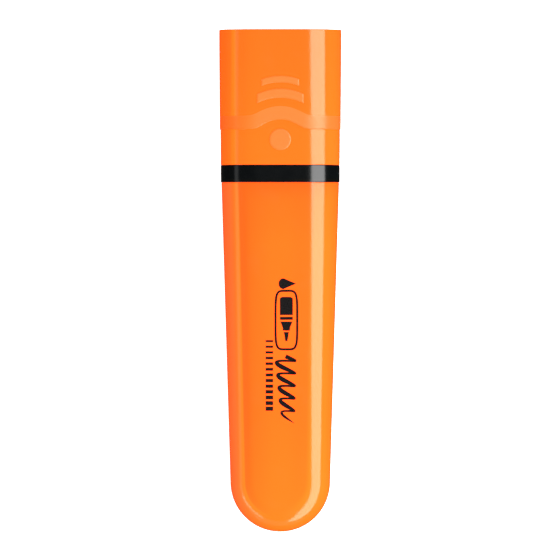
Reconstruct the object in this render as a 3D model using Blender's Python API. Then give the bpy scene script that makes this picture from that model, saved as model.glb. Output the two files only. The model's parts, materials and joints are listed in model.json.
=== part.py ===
"""A capped, flat-bodied highlighter, modelled piece by piece as it comes apart on a bench.

Everything is built in the pen's own frame: +Y runs along the pen from the round
end of the barrel to the flat end of the cap, X is the width and Z the thickness,
and the pen's centre line is X = Z = 0.  Most pieces are closed skins lofted
through rings of points.  At the end the pen's frame is leaned and lifted so that
the pen lies on its wedge-shaped back, with the middle of its footprint at the
world's origin.
"""

import math

import bmesh
import bpy
from mathutils import Matrix, Vector

MM = 0.001

# Barrel: a wedge with straight drafted sides and a half-round end.
BARREL_LENGTH = 80.6 * MM
BARREL_MOUTH_HALF_WIDTH = 13.6 * MM
BARREL_WALL = 1.2 * MM
SIDE_DRAFT = math.radians(1.72)
FACE_DRAFT = math.radians(1.91)
EDGE_RATIO = 1.25  # width of the rounded edge, in half thicknesses
EDGE_POWER = 2.4  # 2 is an ellipse; more runs into the flat face without a visible line

# Collar and nose, one black moulding that carries the nib.
COLLAR_LENGTH = 3.7 * MM
COLLAR_PROUD = 0.15 * MM
COLLAR_BEVEL = 0.25 * MM
PLUG_LENGTH = 9.0 * MM
PLUG_WALL = 1.1 * MM
PLUG_LEAD = 0.5 * MM
SHOULDER_LENGTH = 8.45 * MM
SHOULDER_BEVEL = 0.6 * MM
FRONT_PLATE = 1.4 * MM
NOSE_LENGTH = 9.4 * MM
NOSE_CONE = 3.6 * MM
NOSE_TAPER = 0.4 * MM
NOSE_FILLET = 0.6 * MM
NOSE_WALL = 1.14 * MM
NIB_TUBE_WALL = 1.0 * MM
NIB_TUBE_OVERHANG = 2.0 * MM  # from the plug's rear face forward to the nib tube's rear face
WEB_THICKNESS = 1.0 * MM

# Chisel nib.
NIB_WIDTH = 5.2 * MM
NIB_THICKNESS = 3.6 * MM
NIB_CORNER = 0.5 * MM
NIB_PROJECTION = 6.0 * MM
NIB_SLANT = math.radians(25)
NIB_BEVEL_LENGTH = 2.6 * MM
NIB_EDGE_THICKNESS = 1.1 * MM
NIB_EDGE_ROUND = 0.25 * MM
NIB_SOCKET_DEPTH = 4.5 * MM

# Fibre reservoir and the film sleeve around it.
RESERVOIR_HALF_THICKNESS = 2.75 * MM
RESERVOIR_SIDE_ROOM = 1.7 * MM
FILM_GAP = 0.1 * MM
FILM_WALL = 0.2 * MM
FILM_OVERHANG = 0.6 * MM
RESERVOIR_CLEARANCE = 0.15 * MM
ROUND_END_ROOM = 1.0 * MM

# Ribs inside the barrel that hold the reservoir.
RIB_OFFSET = 4.2 * MM
RIB_THICKNESS = 1.0 * MM
RIB_STOP_LENGTH = 4.0 * MM
RIB_STOP_HALF_GAP = 1.5 * MM

# Cap.
CAP_WALL = 1.15 * MM
CAP_END_WALL = 1.6 * MM
CAP_FLARE_WIDTH = 0.22 * MM
CAP_FLARE_THICKNESS = 0.7 * MM
CAP_INNER_DRAFT = 0.1 * MM  # how much narrower the cavity is at its closed end
CAP_EDGE_ROUND = 0.3 * MM
CAP_MOUTH_LEAD = 0.25 * MM
HOOD_RAISE = 0.17 * MM
HOOD_EDGE_HEIGHT = 7.92 * MM
HOOD_ARCH_HEIGHT = 2.2 * MM
HOOD_ARCH_HALF_WIDTH = 5.4 * MM
HOOD_ARCH_SOFTNESS = 0.15  # share of the arch's height over which its feet are rounded
SEAT_RING_HEIGHT = 2.6 * MM
SEAT_RING_WALL = 0.55 * MM

# Inner cap, the liner that seals round the nose.
INNER_CAP_WALL = 0.8 * MM
INNER_CAP_END = 0.8 * MM
INNER_CAP_LEAD = 0.3 * MM
INNER_CAP_LIFT = 1.6 * MM
NIB_HEADROOM = 4.85 * MM

# Raised ripples under the thumb: a button, and above it two arcs, each given by the
# heights of its lower and upper edge above the cap's mouth and by its half width.
RIPPLE_RAISE = 0.15 * MM
RIPPLE_ROOT = 0.5 * MM
BUTTON_HEIGHT = 5.7 * MM
BUTTON_RADIUS = 2.5 * MM
ARC_RADIUS = 12.0 * MM
ARC_BANDS = ((15.25 * MM, 17.4 * MM, 5.4 * MM), (18.8 * MM, 20.35 * MM, 4.35 * MM))

# Snap bead on the shoulder and the groove it rests in.
BEAD_HEIGHT = 5.35 * MM
BEAD_HALF_LENGTH = 0.7 * MM
BEAD_RAISE = 0.15 * MM

# Clearances between pieces that meet.
SEAM = 0.3 * MM
PLUG_CLEARANCE = 0.2 * MM
SHOULDER_CLEARANCE = 0.25 * MM
SEAL_CLEARANCE = 0.15 * MM
NIB_CLEARANCE = 0.1 * MM
AIR_GAP = 0.6 * MM
SEAT_CLEARANCE = 0.2 * MM
SOCKET_CLEARANCE = 0.2 * MM

# Mesh fineness.
EDGE_STEPS = 8
FACE_STEPS = 2
RIPPLED_FACE_STEPS = 14
ROUND_END_STEPS = 12
ARC_STEPS = 12
BUTTON_STEPS = 28
EMBED = 0.5 * MM  # how far a joined feature runs into the wall behind it
WELD = 1e-7
SHARP_ANGLE = math.radians(32)

# Sizes that follow from the ones above, working outwards from the nib.
nib_channel_half_width = NIB_WIDTH / 2 + NIB_CLEARANCE
nib_channel_half_thickness = NIB_THICKNESS / 2 + NIB_CLEARANCE
nose_radius = math.hypot(NIB_WIDTH / 2, NIB_THICKNESS / 2) + NOSE_WALL
inner_cap_bore = nose_radius + SEAL_CLEARANCE
inner_cap_radius = inner_cap_bore + INNER_CAP_WALL
cap_cavity_half_thickness = inner_cap_radius + AIR_GAP
collar_half_thickness = cap_cavity_half_thickness + CAP_WALL
collar_half_width = BARREL_MOUTH_HALF_WIDTH + COLLAR_PROUD
barrel_mouth_half_thickness = collar_half_thickness - COLLAR_PROUD
cap_cavity_half_width = collar_half_width - CAP_WALL
side_slope = math.tan(SIDE_DRAFT)
face_slope = math.tan(FACE_DRAFT)
# The end's radius makes the drafted sides tangent to it and puts its tip at y = 0.
end_radius = (
    (BARREL_MOUTH_HALF_WIDTH - BARREL_LENGTH * side_slope)
    * math.cos(SIDE_DRAFT)
    / (1 - math.sin(SIDE_DRAFT))
)

# Places along the pen.
plug_rear = BARREL_LENGTH - PLUG_LENGTH
collar_rear = BARREL_LENGTH + SEAM
collar_front = collar_rear + COLLAR_LENGTH
shoulder_front = collar_front + SHOULDER_LENGTH
nose_front = shoulder_front + NOSE_LENGTH
nib_front = nose_front + NIB_PROJECTION
cap_mouth = collar_front + SEAM
inner_cap_mouth = shoulder_front + INNER_CAP_LIFT
inner_cap_top = nib_front + NIB_HEADROOM + INNER_CAP_END
cap_cavity_top = inner_cap_top + SEAM
cap_top = cap_cavity_top + CAP_END_WALL
nib_tube_rear = plug_rear + NIB_TUBE_OVERHANG
reservoir_front = plug_rear - SEAM - FILM_OVERHANG
nib_rear = reservoir_front - NIB_SOCKET_DEPTH + SOCKET_CLEARANCE


def barrel_half_thickness(y):
    """The barrel's faces are two planes that draw together towards its round end."""
    return barrel_mouth_half_thickness - (BARREL_LENGTH - y) * face_slope


def barrel_half_width(y):
    return BARREL_MOUTH_HALF_WIDTH - (BARREL_LENGTH - y) * side_slope


def cap_half_thickness(y):
    share = (y - cap_mouth) / (cap_top - cap_mouth)
    return collar_half_thickness + CAP_FLARE_THICKNESS * share


def cap_half_width(y):
    share = (y - cap_mouth) / (cap_top - cap_mouth)
    return collar_half_width + CAP_FLARE_WIDTH * share


# The film's outside sets where the barrel is thick enough for the reservoir to start.
film_inner_half_thickness = RESERVOIR_HALF_THICKNESS + FILM_GAP
film_half_thickness = film_inner_half_thickness + FILM_WALL
rib_face = film_half_thickness + RESERVOIR_CLEARANCE
film_half_width = end_radius - BARREL_WALL - RESERVOIR_SIDE_ROOM
film_inner_half_width = film_half_width - FILM_WALL
reservoir_half_width = film_inner_half_width - FILM_GAP
heel_half_thickness = barrel_half_thickness(0)
film_rear = max(
    end_radius + ROUND_END_ROOM,
    (rib_face + BARREL_WALL - heel_half_thickness) / face_slope,
)
reservoir_rear = film_rear + FILM_OVERHANG


# ---------------------------------------------------------------- rings of points


def whole_ring(quarter, face_steps):
    """Mirrors a quarter outline, from the side to the face, into a closed ring."""
    x, y, z = quarter[-1]
    face = [(x * (1 - 2 * k / face_steps), y, z) for k in range(1, face_steps)]
    upper = quarter + face + [(-x, y, z) for x, y, z in reversed(quarter)]
    lower = [(x, y, -z) for x, y, z in reversed(upper[1:-1])]
    return upper + lower


def slab_ring(outline, inward, edge, half_thickness, raised=0.0, face_steps=FACE_STEPS):
    """A section through the pen's body, square to its outline.

    outline is the point (x, y) of the body's silhouette, inward the direction from
    it across the body, and edge the width of the rounded edge.  Along the edge the
    depth grows as 1 - cos^(2/p) and the height as sin^(2/p) of one angle, p being
    EDGE_POWER.  The height is a share of the half thickness at each point's own y,
    so that the face beyond the edge stays flat.
    """
    quarter = []
    for step in range(EDGE_STEPS + 1):
        angle = math.pi / 2 * step / EDGE_STEPS
        depth = edge * (1 - max(math.cos(angle), 0) ** (2 / EDGE_POWER)) - raised
        if step == EDGE_STEPS:
            depth = edge - raised
        x = outline[0] + inward[0] * depth
        y = outline[1] + inward[1] * depth
        height = (half_thickness(y) + raised) * math.sin(angle) ** (2 / EDGE_POWER)
        quarter.append((x, y, height))
    return whole_ring(quarter, face_steps)


def oval(y, half_width, half_thickness, face_steps=FACE_STEPS):
    """A level section of the body's shape, at one y."""
    return slab_ring(
        (half_width, y),
        (-1, 0),
        EDGE_RATIO * half_thickness,
        lambda _: half_thickness,
        face_steps=face_steps,
    )


def block(y, half_width, half_thickness, corner, face_steps=FACE_STEPS):
    """A rectangle with rounded corners, at one y."""
    quarter = [(half_width, y, 0)]
    for step in range(EDGE_STEPS):
        angle = math.pi / 2 * step / (EDGE_STEPS - 1)
        x = half_width - corner + corner * math.cos(angle)
        z = half_thickness - corner + corner * math.sin(angle)
        quarter.append((x, y, z))
    return whole_ring(quarter, face_steps)


def circle(y, radius, face_steps=FACE_STEPS):
    """A circle with as many points as the other rings."""
    count = 4 * EDGE_STEPS + 2 * face_steps
    turns = [2 * math.pi * k / count for k in range(count)]
    return [(radius * math.cos(t), y, radius * math.sin(t)) for t in turns]


def lifted(ring, lift):
    """The ring with each point moved along the pen by lift(x)."""
    return [(x, y + lift(x), z) for x, y, z in ring]


# ---------------------------------------------------------------- objects


def material(name, colour, roughness, alpha=1.0):
    made = bpy.data.materials.new(name)
    made.use_nodes = True
    shader = made.node_tree.nodes["Principled BSDF"]
    shader.inputs["Base Color"].default_value = (*colour, 1)
    shader.inputs["Roughness"].default_value = roughness
    shader.inputs["Metallic"].default_value = 0
    shader.inputs["Alpha"].default_value = alpha
    return made


def empty(name, parent=None, location=(0, 0, 0)):
    made = bpy.data.objects.new(name, None)
    bpy.context.scene.collection.objects.link(made)
    made.parent = parent
    made.location = location
    return made


def mesh_object(name, shape, parent):
    """Turns a bmesh into an object whose origin is its parent's place on the pen's axis."""
    bmesh.ops.remove_doubles(shape, verts=shape.verts, dist=WELD)
    bmesh.ops.recalc_face_normals(shape, faces=shape.faces)
    bmesh.ops.translate(shape, verts=shape.verts, vec=-parent_offset(parent))
    mesh = bpy.data.meshes.new(name)
    shape.to_mesh(mesh)
    shape.free()
    mesh.shade_smooth()
    mesh.set_sharp_from_angle(angle=SHARP_ANGLE)
    made = bpy.data.objects.new(name, mesh)
    bpy.context.scene.collection.objects.link(made)
    made.parent = parent
    return made


def parent_offset(parent):
    """Where an empty stands in the pen's own frame."""
    offset = Vector()
    while parent is not None and parent.parent is not None:
        offset += parent.location
        parent = parent.parent
    return offset


def loft(name, rings, parent, loop=False, ends=(True, True)):
    """A skin through the rings.  With loop the last ring joins the first."""
    shape = bmesh.new()
    rows = [[shape.verts.new(point) for point in ring] for ring in rings]
    pairs = list(zip(rows, rows[1:]))
    if loop:
        pairs.append((rows[-1], rows[0]))
    for near, far in pairs:
        for k in range(len(near)):
            after = (k + 1) % len(near)
            shape.faces.new((near[k], near[after], far[after], far[k]))
    if not loop:
        for row, closed in zip((rows[0], rows[-1]), ends):
            if closed:
                shape.faces.new(row)
    return mesh_object(name, shape, parent)


def prism(name, outline, direction, parent):
    """A closed outline of points, extruded along direction."""
    shape = bmesh.new()
    face = shape.faces.new([shape.verts.new(point) for point in outline])
    grown = bmesh.ops.extrude_face_region(shape, geom=[face])
    moved = [v for v in grown["geom"] if isinstance(v, bmesh.types.BMVert)]
    bmesh.ops.translate(shape, verts=moved, vec=direction)
    return mesh_object(name, shape, parent)


def join(target, features):
    """Unites helper shapes with a piece; the helpers themselves aren't part of the pen."""
    for feature in features:
        feature.hide_render = True
        feature.display_type = "WIRE"
        united = target.modifiers.new(feature.name, "BOOLEAN")
        united.operation = "UNION"
        united.solver = "EXACT"
        united.object = feature


# ---------------------------------------------------------------- barrel


def barrel_rings(inset):
    """Rings from the mouth round to the tip of the round end, inset from the outside."""
    radius = end_radius - inset

    def thickness(y):
        return barrel_half_thickness(y) - inset

    def edge(y):
        return EDGE_RATIO * barrel_half_thickness(y) - inset

    mouth = (BARREL_MOUTH_HALF_WIDTH - inset, BARREL_LENGTH)
    rings = [slab_ring(mouth, (-1, 0), edge(BARREL_LENGTH), thickness)]
    for step in range(ROUND_END_STEPS + 1):
        angle = -SIDE_DRAFT - (math.pi / 2 - SIDE_DRAFT) * step / ROUND_END_STEPS
        across, along = math.cos(angle), math.sin(angle)
        if step == ROUND_END_STEPS:
            across, along = 0, -1
        point = (radius * across, end_radius + radius * along)
        rings.append(slab_ring(point, (-across, -along), edge(point[1]), thickness))
    return rings


def make_barrel(parent):
    """A hollow shell, closed at its round end, with four ribs that hold the reservoir."""
    outside, inside = barrel_rings(0), barrel_rings(BARREL_WALL)
    skin = list(reversed(inside)) + outside
    barrel = loft("barrel", skin, parent, ends=(False, False))
    stop_rear = film_rear - RESERVOIR_CLEARANCE - RIB_STOP_LENGTH
    ribs = []
    for side in (-1, 1):
        for face in (-1, 1):
            x = side * RIB_OFFSET - RIB_THICKNESS / 2

            def root(y):
                return barrel_half_thickness(y) - BARREL_WALL + EMBED

            stop_front = film_rear - RESERVOIR_CLEARANCE
            rib_front = plug_rear - SEAM
            profile = (
                (stop_rear, RIB_STOP_HALF_GAP),
                (stop_front, RIB_STOP_HALF_GAP),
                (stop_front, rib_face),
                (rib_front, rib_face),
                (rib_front, root(rib_front)),
                (stop_rear, root(stop_rear)),
            )
            outline = [(x, y, face * z) for y, z in profile]
            name = f"rib_{'left' if side < 0 else 'right'}_{'back' if face < 0 else 'front'}"
            ribs.append(prism(name, outline, (RIB_THICKNESS, 0, 0), parent))
    join(barrel, ribs)
    return barrel


# ---------------------------------------------------------------- nib holder


def plug_oval(y, inset):
    half_width = barrel_half_width(y) - BARREL_WALL - PLUG_CLEARANCE - inset
    half_thickness = barrel_half_thickness(y) - BARREL_WALL - PLUG_CLEARANCE - inset
    return oval(y, half_width, half_thickness)


def shoulder_oval(y, inset):
    half_width = cap_cavity_half_width - SHOULDER_CLEARANCE - inset
    half_thickness = cap_cavity_half_thickness - SHOULDER_CLEARANCE - inset
    return oval(y, half_width, half_thickness)


def collar_oval(y, inset):
    return oval(y, collar_half_width - inset, collar_half_thickness - inset)


def nib_channel(y, inset):
    return block(
        y,
        nib_channel_half_width - inset,
        nib_channel_half_thickness - inset,
        NIB_CORNER - inset / 2,
    )


def make_nib_holder(parent):
    """Plug, collar, shoulder and nose, with the nib's channel right through them."""
    bead = collar_front + BEAD_HEIGHT
    plate_rear = shoulder_front - FRONT_PLATE
    outside = [
        plug_oval(plug_rear, PLUG_LEAD),
        plug_oval(plug_rear + PLUG_LEAD, 0),
        plug_oval(collar_rear, 0),
        collar_oval(collar_rear, COLLAR_BEVEL),
        collar_oval(collar_rear + COLLAR_BEVEL, 0),
        collar_oval(collar_front - COLLAR_BEVEL, 0),
        collar_oval(collar_front, COLLAR_BEVEL),
        shoulder_oval(collar_front, 0),
        shoulder_oval(bead - BEAD_HALF_LENGTH, 0),
        shoulder_oval(bead, -BEAD_RAISE),
        shoulder_oval(bead + BEAD_HALF_LENGTH, 0),
        shoulder_oval(shoulder_front - SHOULDER_BEVEL, 0),
        shoulder_oval(shoulder_front, SHOULDER_BEVEL),
        circle(shoulder_front, nose_radius + NOSE_FILLET),
        circle(shoulder_front + NOSE_FILLET, nose_radius),
        circle(nose_front - NOSE_CONE, nose_radius),
        circle(nose_front - NOSE_FILLET / 2, nose_radius - NOSE_TAPER),
        circle(nose_front, nose_radius - NOSE_TAPER - NOSE_FILLET / 2),
    ]
    inside = [
        nib_channel(nose_front, 0),
        nib_channel(nib_tube_rear, 0),
        nib_channel(nib_tube_rear, -NIB_TUBE_WALL),
        nib_channel(plate_rear, -NIB_TUBE_WALL),
        shoulder_oval(plate_rear, PLUG_WALL),
        plug_oval(collar_rear, PLUG_WALL),
        plug_oval(plug_rear, PLUG_WALL),
    ]
    holder = loft("nib_holder", outside + inside, parent, loop=True)
    reach = barrel_half_width(plug_rear) - BARREL_WALL - PLUG_CLEARANCE - PLUG_WALL / 2
    near = nib_channel_half_width + NIB_TUBE_WALL / 2
    webs = []
    for side in (-1, 1):
        name = f"web_{'left' if side < 0 else 'right'}"
        rear, front = nib_tube_rear + PLUG_LEAD, plate_rear + FRONT_PLATE / 2
        low, high = -WEB_THICKNESS / 2, WEB_THICKNESS
        corners = ((near, rear), (reach, rear), (reach, front), (near, front))
        outline = [(side * x, y, low) for x, y in corners]
        webs.append(prism(name, outline, (0, 0, high), parent))
    join(holder, webs)
    return holder


# ---------------------------------------------------------------- nib


def nib_ring(y, inset, half_thickness, slope):
    """A section of the nib, slanted across its width so that one corner leads."""
    half_width = NIB_WIDTH / 2 - inset
    corner = min(NIB_CORNER, half_thickness * 0.8)
    ring = block(y, half_width, half_thickness, corner)
    return lifted(ring, lambda x: slope * (x - NIB_WIDTH / 2))


def make_nib(parent):
    """A square-shouldered rod of porous fibre with a slanted chisel edge."""
    slope = math.tan(NIB_SLANT)
    full = NIB_THICKNESS / 2
    edge = NIB_EDGE_THICKNESS / 2
    rings = [
        nib_ring(nib_rear, 0, full, 0),
        nib_ring(nib_front - NIB_BEVEL_LENGTH, 0, full, slope),
        nib_ring(nib_front - NIB_EDGE_ROUND, 0, edge, slope),
        nib_ring(nib_front, NIB_EDGE_ROUND, edge - NIB_EDGE_ROUND, slope),
    ]
    return loft("nib", rings, parent)


# ---------------------------------------------------------------- reservoir


def make_reservoir(parent):
    """A flat rod of ink fibre, with a socket that the nib's tail is pushed into."""
    half_width, half_thickness = reservoir_half_width, RESERVOIR_HALF_THICKNESS
    socket_floor = reservoir_front - NIB_SOCKET_DEPTH
    wider = -(SOCKET_CLEARANCE - NIB_CLEARANCE)
    rings = [
        oval(reservoir_rear, half_width, half_thickness),
        oval(reservoir_front, half_width, half_thickness),
        nib_channel(reservoir_front, wider),
        nib_channel(socket_floor, wider),
    ]
    return loft("ink_reservoir", rings, parent)


def make_film(parent):
    """The thin sleeve that keeps the ink in the fibre, open at both ends."""
    rings = [
        oval(film_rear, film_inner_half_width, film_inner_half_thickness),
        oval(film_rear, film_half_width, film_half_thickness),
        oval(reservoir_front + FILM_OVERHANG, film_half_width, film_half_thickness),
        oval(
            reservoir_front + FILM_OVERHANG,
            film_inner_half_width,
            film_inner_half_thickness,
        ),
    ]
    return loft("reservoir_film", rings, parent, loop=True)


# ---------------------------------------------------------------- cap


def hood_arch(x):
    """How far the hood's lower edge is lifted at x: a parabola that eases into a level line."""
    share = 1 - (x / HOOD_ARCH_HALF_WIDTH) ** 2
    return HOOD_ARCH_HEIGHT * (share + math.hypot(share, HOOD_ARCH_SOFTNESS)) / 2


def cap_ring(y, inset=0.0, lift=lambda x: 0.0):
    """A section of the cap's outside, its height taken at each point's own place."""
    steps = RIPPLED_FACE_STEPS
    edge = EDGE_RATIO * cap_half_thickness(y)
    outline = (cap_half_width(y), y)
    ring = slab_ring(outline, (-1, 0), edge, cap_half_thickness, -inset, steps)
    moved = []
    for x, place, z in lifted(ring, lift):
        scale = (cap_half_thickness(place) - inset) / (cap_half_thickness(y) - inset)
        moved.append((x, place, z * scale))
    return moved


def cavity_ring(y, inset=0.0):
    share = (y - cap_mouth) / (cap_cavity_top - cap_mouth)
    inset += CAP_INNER_DRAFT * share
    half_width = cap_cavity_half_width - inset
    half_thickness = cap_cavity_half_thickness - inset
    return oval(y, half_width, half_thickness, RIPPLED_FACE_STEPS)


def make_ripples(parent):
    """Prisms that stand just proud of the cap's front and back: a button and two arcs."""
    button = []
    for step in range(BUTTON_STEPS):
        angle = 2 * math.pi * step / BUTTON_STEPS
        up = BUTTON_HEIGHT + BUTTON_RADIUS * math.sin(angle)
        button.append((BUTTON_RADIUS * math.cos(angle), up))
    outlines = [("button", button, RIPPLE_RAISE)]
    for number, (lower, upper, half_width) in enumerate(ARC_BANDS):
        arc = []
        for crest, way in ((lower, 1), (upper, -1)):
            for step in range(ARC_STEPS + 1):
                x = way * half_width * (2 * step / ARC_STEPS - 1)
                arc.append((x, crest - ARC_RADIUS + math.sqrt(ARC_RADIUS**2 - x**2)))
        outlines.append((f"arc_{number}", arc, RIPPLE_RAISE + HOOD_RAISE))
    made = []
    for face in (-1, 1):
        for name, outline, raised in outlines:
            points = []
            for x, up in outline:
                surface = cap_half_thickness(cap_mouth + up)
                points.append((x, cap_mouth + up, face * (surface - RIPPLE_ROOT)))
            height = (0, 0, face * (RIPPLE_ROOT + raised))
            label = f"{name}_{'back' if face < 0 else 'front'}"
            made.append(prism(label, points, height, parent))
    return made


def make_cap(parent):
    """The outer cap: flat closed end, raised hood with an arched edge, thumb ripples."""
    bead = collar_front + BEAD_HEIGHT
    hood = cap_mouth + HOOD_EDGE_HEIGHT
    skin = [
        cavity_ring(cap_cavity_top),
        cavity_ring(bead + 2 * BEAD_HALF_LENGTH),
        cavity_ring(bead, -BEAD_RAISE),
        cavity_ring(bead - 2 * BEAD_HALF_LENGTH),
        cavity_ring(cap_mouth + CAP_MOUTH_LEAD),
        cavity_ring(cap_mouth, -CAP_MOUTH_LEAD),
        cap_ring(cap_mouth, CAP_EDGE_ROUND),
        cap_ring(cap_mouth + CAP_EDGE_ROUND),
        cap_ring(hood, 0, hood_arch),
        cap_ring(hood + HOOD_RAISE, -HOOD_RAISE, hood_arch),
        cap_ring(cap_top - CAP_EDGE_ROUND, -HOOD_RAISE),
        cap_ring(cap_top, CAP_EDGE_ROUND - HOOD_RAISE),
    ]
    cap = loft("cap_shell", skin, parent)
    bore = inner_cap_radius + SEAT_CLEARANCE
    ring_mouth = cap_cavity_top - SEAT_RING_HEIGHT
    ring_root = cap_cavity_top + EMBED
    rim = bore + SEAT_RING_WALL
    seat = loft(
        "seat_ring",
        [
            circle(ring_mouth, bore),
            circle(ring_mouth, rim),
            circle(ring_root, rim),
            circle(ring_root, bore),
        ],
        parent,
        loop=True,
    )
    join(cap, [seat, *make_ripples(parent)])
    return cap


def make_inner_cap(parent):
    """A round liner, closed at its far end, that seals round the nose."""
    rings = [
        circle(inner_cap_top - INNER_CAP_END, inner_cap_bore),
        circle(inner_cap_mouth + INNER_CAP_LEAD, inner_cap_bore),
        circle(inner_cap_mouth, inner_cap_bore + INNER_CAP_LEAD),
        circle(inner_cap_mouth, inner_cap_radius),
        circle(inner_cap_top - INNER_CAP_LEAD, inner_cap_radius),
        circle(inner_cap_top, inner_cap_radius - INNER_CAP_LEAD),
    ]
    return loft("inner_cap", rings, parent)


# ---------------------------------------------------------------- assembly


def lay_down(pen, pieces):
    """Leans the pen's frame until its back rests on the ground, centred on the origin.

    The barrel's heel and the most prominent place further along carry the pen, so
    the lean is the steepest line from the heel to any of the other pieces' backs.
    """
    heel = EDGE_RATIO * heel_half_thickness
    bpy.context.view_layer.update()
    graph = bpy.context.evaluated_depsgraph_get()
    corners = []
    for piece in pieces:
        evaluated = piece.evaluated_get(graph)
        world = evaluated.matrix_world
        corners += [world @ vertex.co for vertex in evaluated.data.vertices]
    lean = max(
        math.atan((-point.z - barrel_half_thickness(heel)) / (point.y - heel))
        for point in corners
        if point.y > BARREL_LENGTH
    )
    pen.rotation_euler = (lean, 0, 0)
    turned = [Matrix.Rotation(lean, 3, "X") @ point for point in corners]
    ends = [point.y for point in turned]
    pen.location = (0, -(min(ends) + max(ends)) / 2, -min(p.z for p in turned))


def build():
    for old in list(bpy.data.objects):
        bpy.data.objects.remove(old)
    orange = material("fluorescent_orange_plastic", (1.0, 0.22, 0.02), 0.2)
    black = material("black_plastic", (0.006, 0.007, 0.008), 0.18)
    fibre = material("inked_nib_fibre", (0.9, 0.16, 0.015), 0.85)
    wadding = material("inked_reservoir_fibre", (0.95, 0.24, 0.04), 0.95)
    film = material("clear_film", (0.9, 0.9, 0.88), 0.1, 0.35)
    liner = material("natural_liner_plastic", (0.85, 0.83, 0.78), 0.35)

    pen = empty("pen_frame")
    cap_slide = empty("cap_slide", pen, (0, cap_mouth, 0))
    made = [
        (make_barrel(pen), orange),
        (make_nib_holder(pen), black),
        (make_nib(pen), fibre),
        (make_reservoir(pen), wadding),
        (make_film(pen), film),
        (make_cap(cap_slide), orange),
        (make_inner_cap(cap_slide), liner),
    ]
    for piece, finish in made:
        piece.data.materials.append(finish)
    lay_down(pen, [piece for piece, _ in made])


build()
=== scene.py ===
"""A capped flat highlighter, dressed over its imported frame.

The pen lies on its back.  Its own axes are: across (x), along from the round end of
the barrel to the flat end of the cap (y), and out of its front face (z), with
x = z = 0 on its centre line.  Every surface is worked out on those axes as a whole
array of points, and is turned into the frame's axes once, when its mesh is made.
"""

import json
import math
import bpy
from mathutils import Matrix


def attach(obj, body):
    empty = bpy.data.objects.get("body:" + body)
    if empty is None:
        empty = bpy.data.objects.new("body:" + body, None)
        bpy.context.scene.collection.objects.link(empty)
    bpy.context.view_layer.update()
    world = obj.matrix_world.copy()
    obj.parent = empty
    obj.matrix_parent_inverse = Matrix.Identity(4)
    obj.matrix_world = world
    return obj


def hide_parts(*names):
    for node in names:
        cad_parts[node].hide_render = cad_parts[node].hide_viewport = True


bl_info = {
    "name": "Capped Flat Highlighter",
    "version": (1, 0, 0),
    "blender": (4, 5, 0),
    "location": "3D View > Sidebar > Highlighter",
    "description": "Builds the highlighter's mouldings, nib, ink parts and print, and a studio",
    "category": "Object",
}

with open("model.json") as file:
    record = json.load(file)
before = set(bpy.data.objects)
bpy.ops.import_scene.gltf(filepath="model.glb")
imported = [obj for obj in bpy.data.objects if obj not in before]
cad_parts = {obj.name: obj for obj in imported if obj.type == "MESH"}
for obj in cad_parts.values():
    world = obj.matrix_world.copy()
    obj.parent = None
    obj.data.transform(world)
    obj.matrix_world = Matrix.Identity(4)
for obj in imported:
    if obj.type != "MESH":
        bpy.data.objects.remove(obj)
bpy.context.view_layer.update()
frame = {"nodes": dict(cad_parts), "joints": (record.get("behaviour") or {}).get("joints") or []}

import bmesh
import bpy
import numpy as np
from bpy.props import FloatProperty, FloatVectorProperty, PointerProperty
from mathutils import Matrix, Vector

MM = 0.001

# ------------------------------------------------------------------ the pen's own axes

ALONG = np.array(frame["joints"][0]["axis"])
ALONG = ALONG / np.linalg.norm(ALONG)
ACROSS = np.array((1.0, 0.0, 0.0))
AXES = np.stack((ACROSS, ALONG, np.cross(ACROSS, ALONG)))
LEAN = math.atan2(ALONG[2], ALONG[1])


def turned_points(node):
    """A frame node's points as rows of x, y, z, turned onto the pen's axes."""
    mesh = frame["nodes"][node].data
    points = np.empty(len(mesh.vertices) * 3)
    mesh.vertices.foreach_get("co", points)
    return points.reshape(-1, 3) @ AXES.T


# The centre line runs through the middle of the cap, and y starts at the round end's tip.
CAP_Z = turned_points("cap_shell")[:, 2]
ORIGIN = np.array((0.0, turned_points("barrel")[:, 1].min(), (CAP_Z.min() + CAP_Z.max()) / 2))


def extent(node):
    """Lowest and highest corner of a node on the pen's own axes, in metres."""
    points = turned_points(node) - ORIGIN
    return points.min(0), points.max(0)


def half_size(box):
    """Half the width and half the thickness of an extent."""
    return (box[1] - box[0])[[0, 2]] / 2


def reach(node, beyond):
    """Lowest and highest y of a node's points whose x is beyond a limit."""
    points = turned_points(node) - ORIGIN
    y = points[points[:, 0] > beyond, 1]
    return y.min(), y.max()


def to_frame(points):
    """Points on the pen's axes, carried into the frame's axes."""
    return (points + ORIGIN) @ AXES


BARREL, HOLDER, NIB = extent("barrel"), extent("nib_holder"), extent("nib")
RESERVOIR, FILM = extent("ink_reservoir"), extent("reservoir_film")
CAP, LINER = extent("cap_shell"), extent("inner_cap")
COLLAR_REAR, COLLAR_FRONT = reach("nib_holder", HOLDER[1][0] - 0.3 * MM)
REAR_SEAM = (BARREL[1][1] + COLLAR_REAR) / 2
FRONT_SEAM = (COLLAR_FRONT + CAP[0][1]) / 2

# ------------------------------------------------------------------ sizes and colours


def number(name, description, default, **limits):
    """A number that a user may change, and that isn't below 0 unless its limits say so."""
    limits = {"min": 0, **limits}
    return FloatProperty(name=name, description=description, default=default, **limits)


def size(name, description, default):
    return number(name, description, default, unit="LENGTH", precision=5)


def draft(name, description, degrees):
    return number(name, description, math.radians(degrees), subtype="ANGLE")


def fraction(name, description, default, top=1.0):
    return number(name, description, default, max=top, subtype="FACTOR")


def colour(name, description, default):
    return FloatVectorProperty(
        name=name, description=description, default=default, min=0, max=1, size=3, subtype="COLOR"
    )


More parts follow.
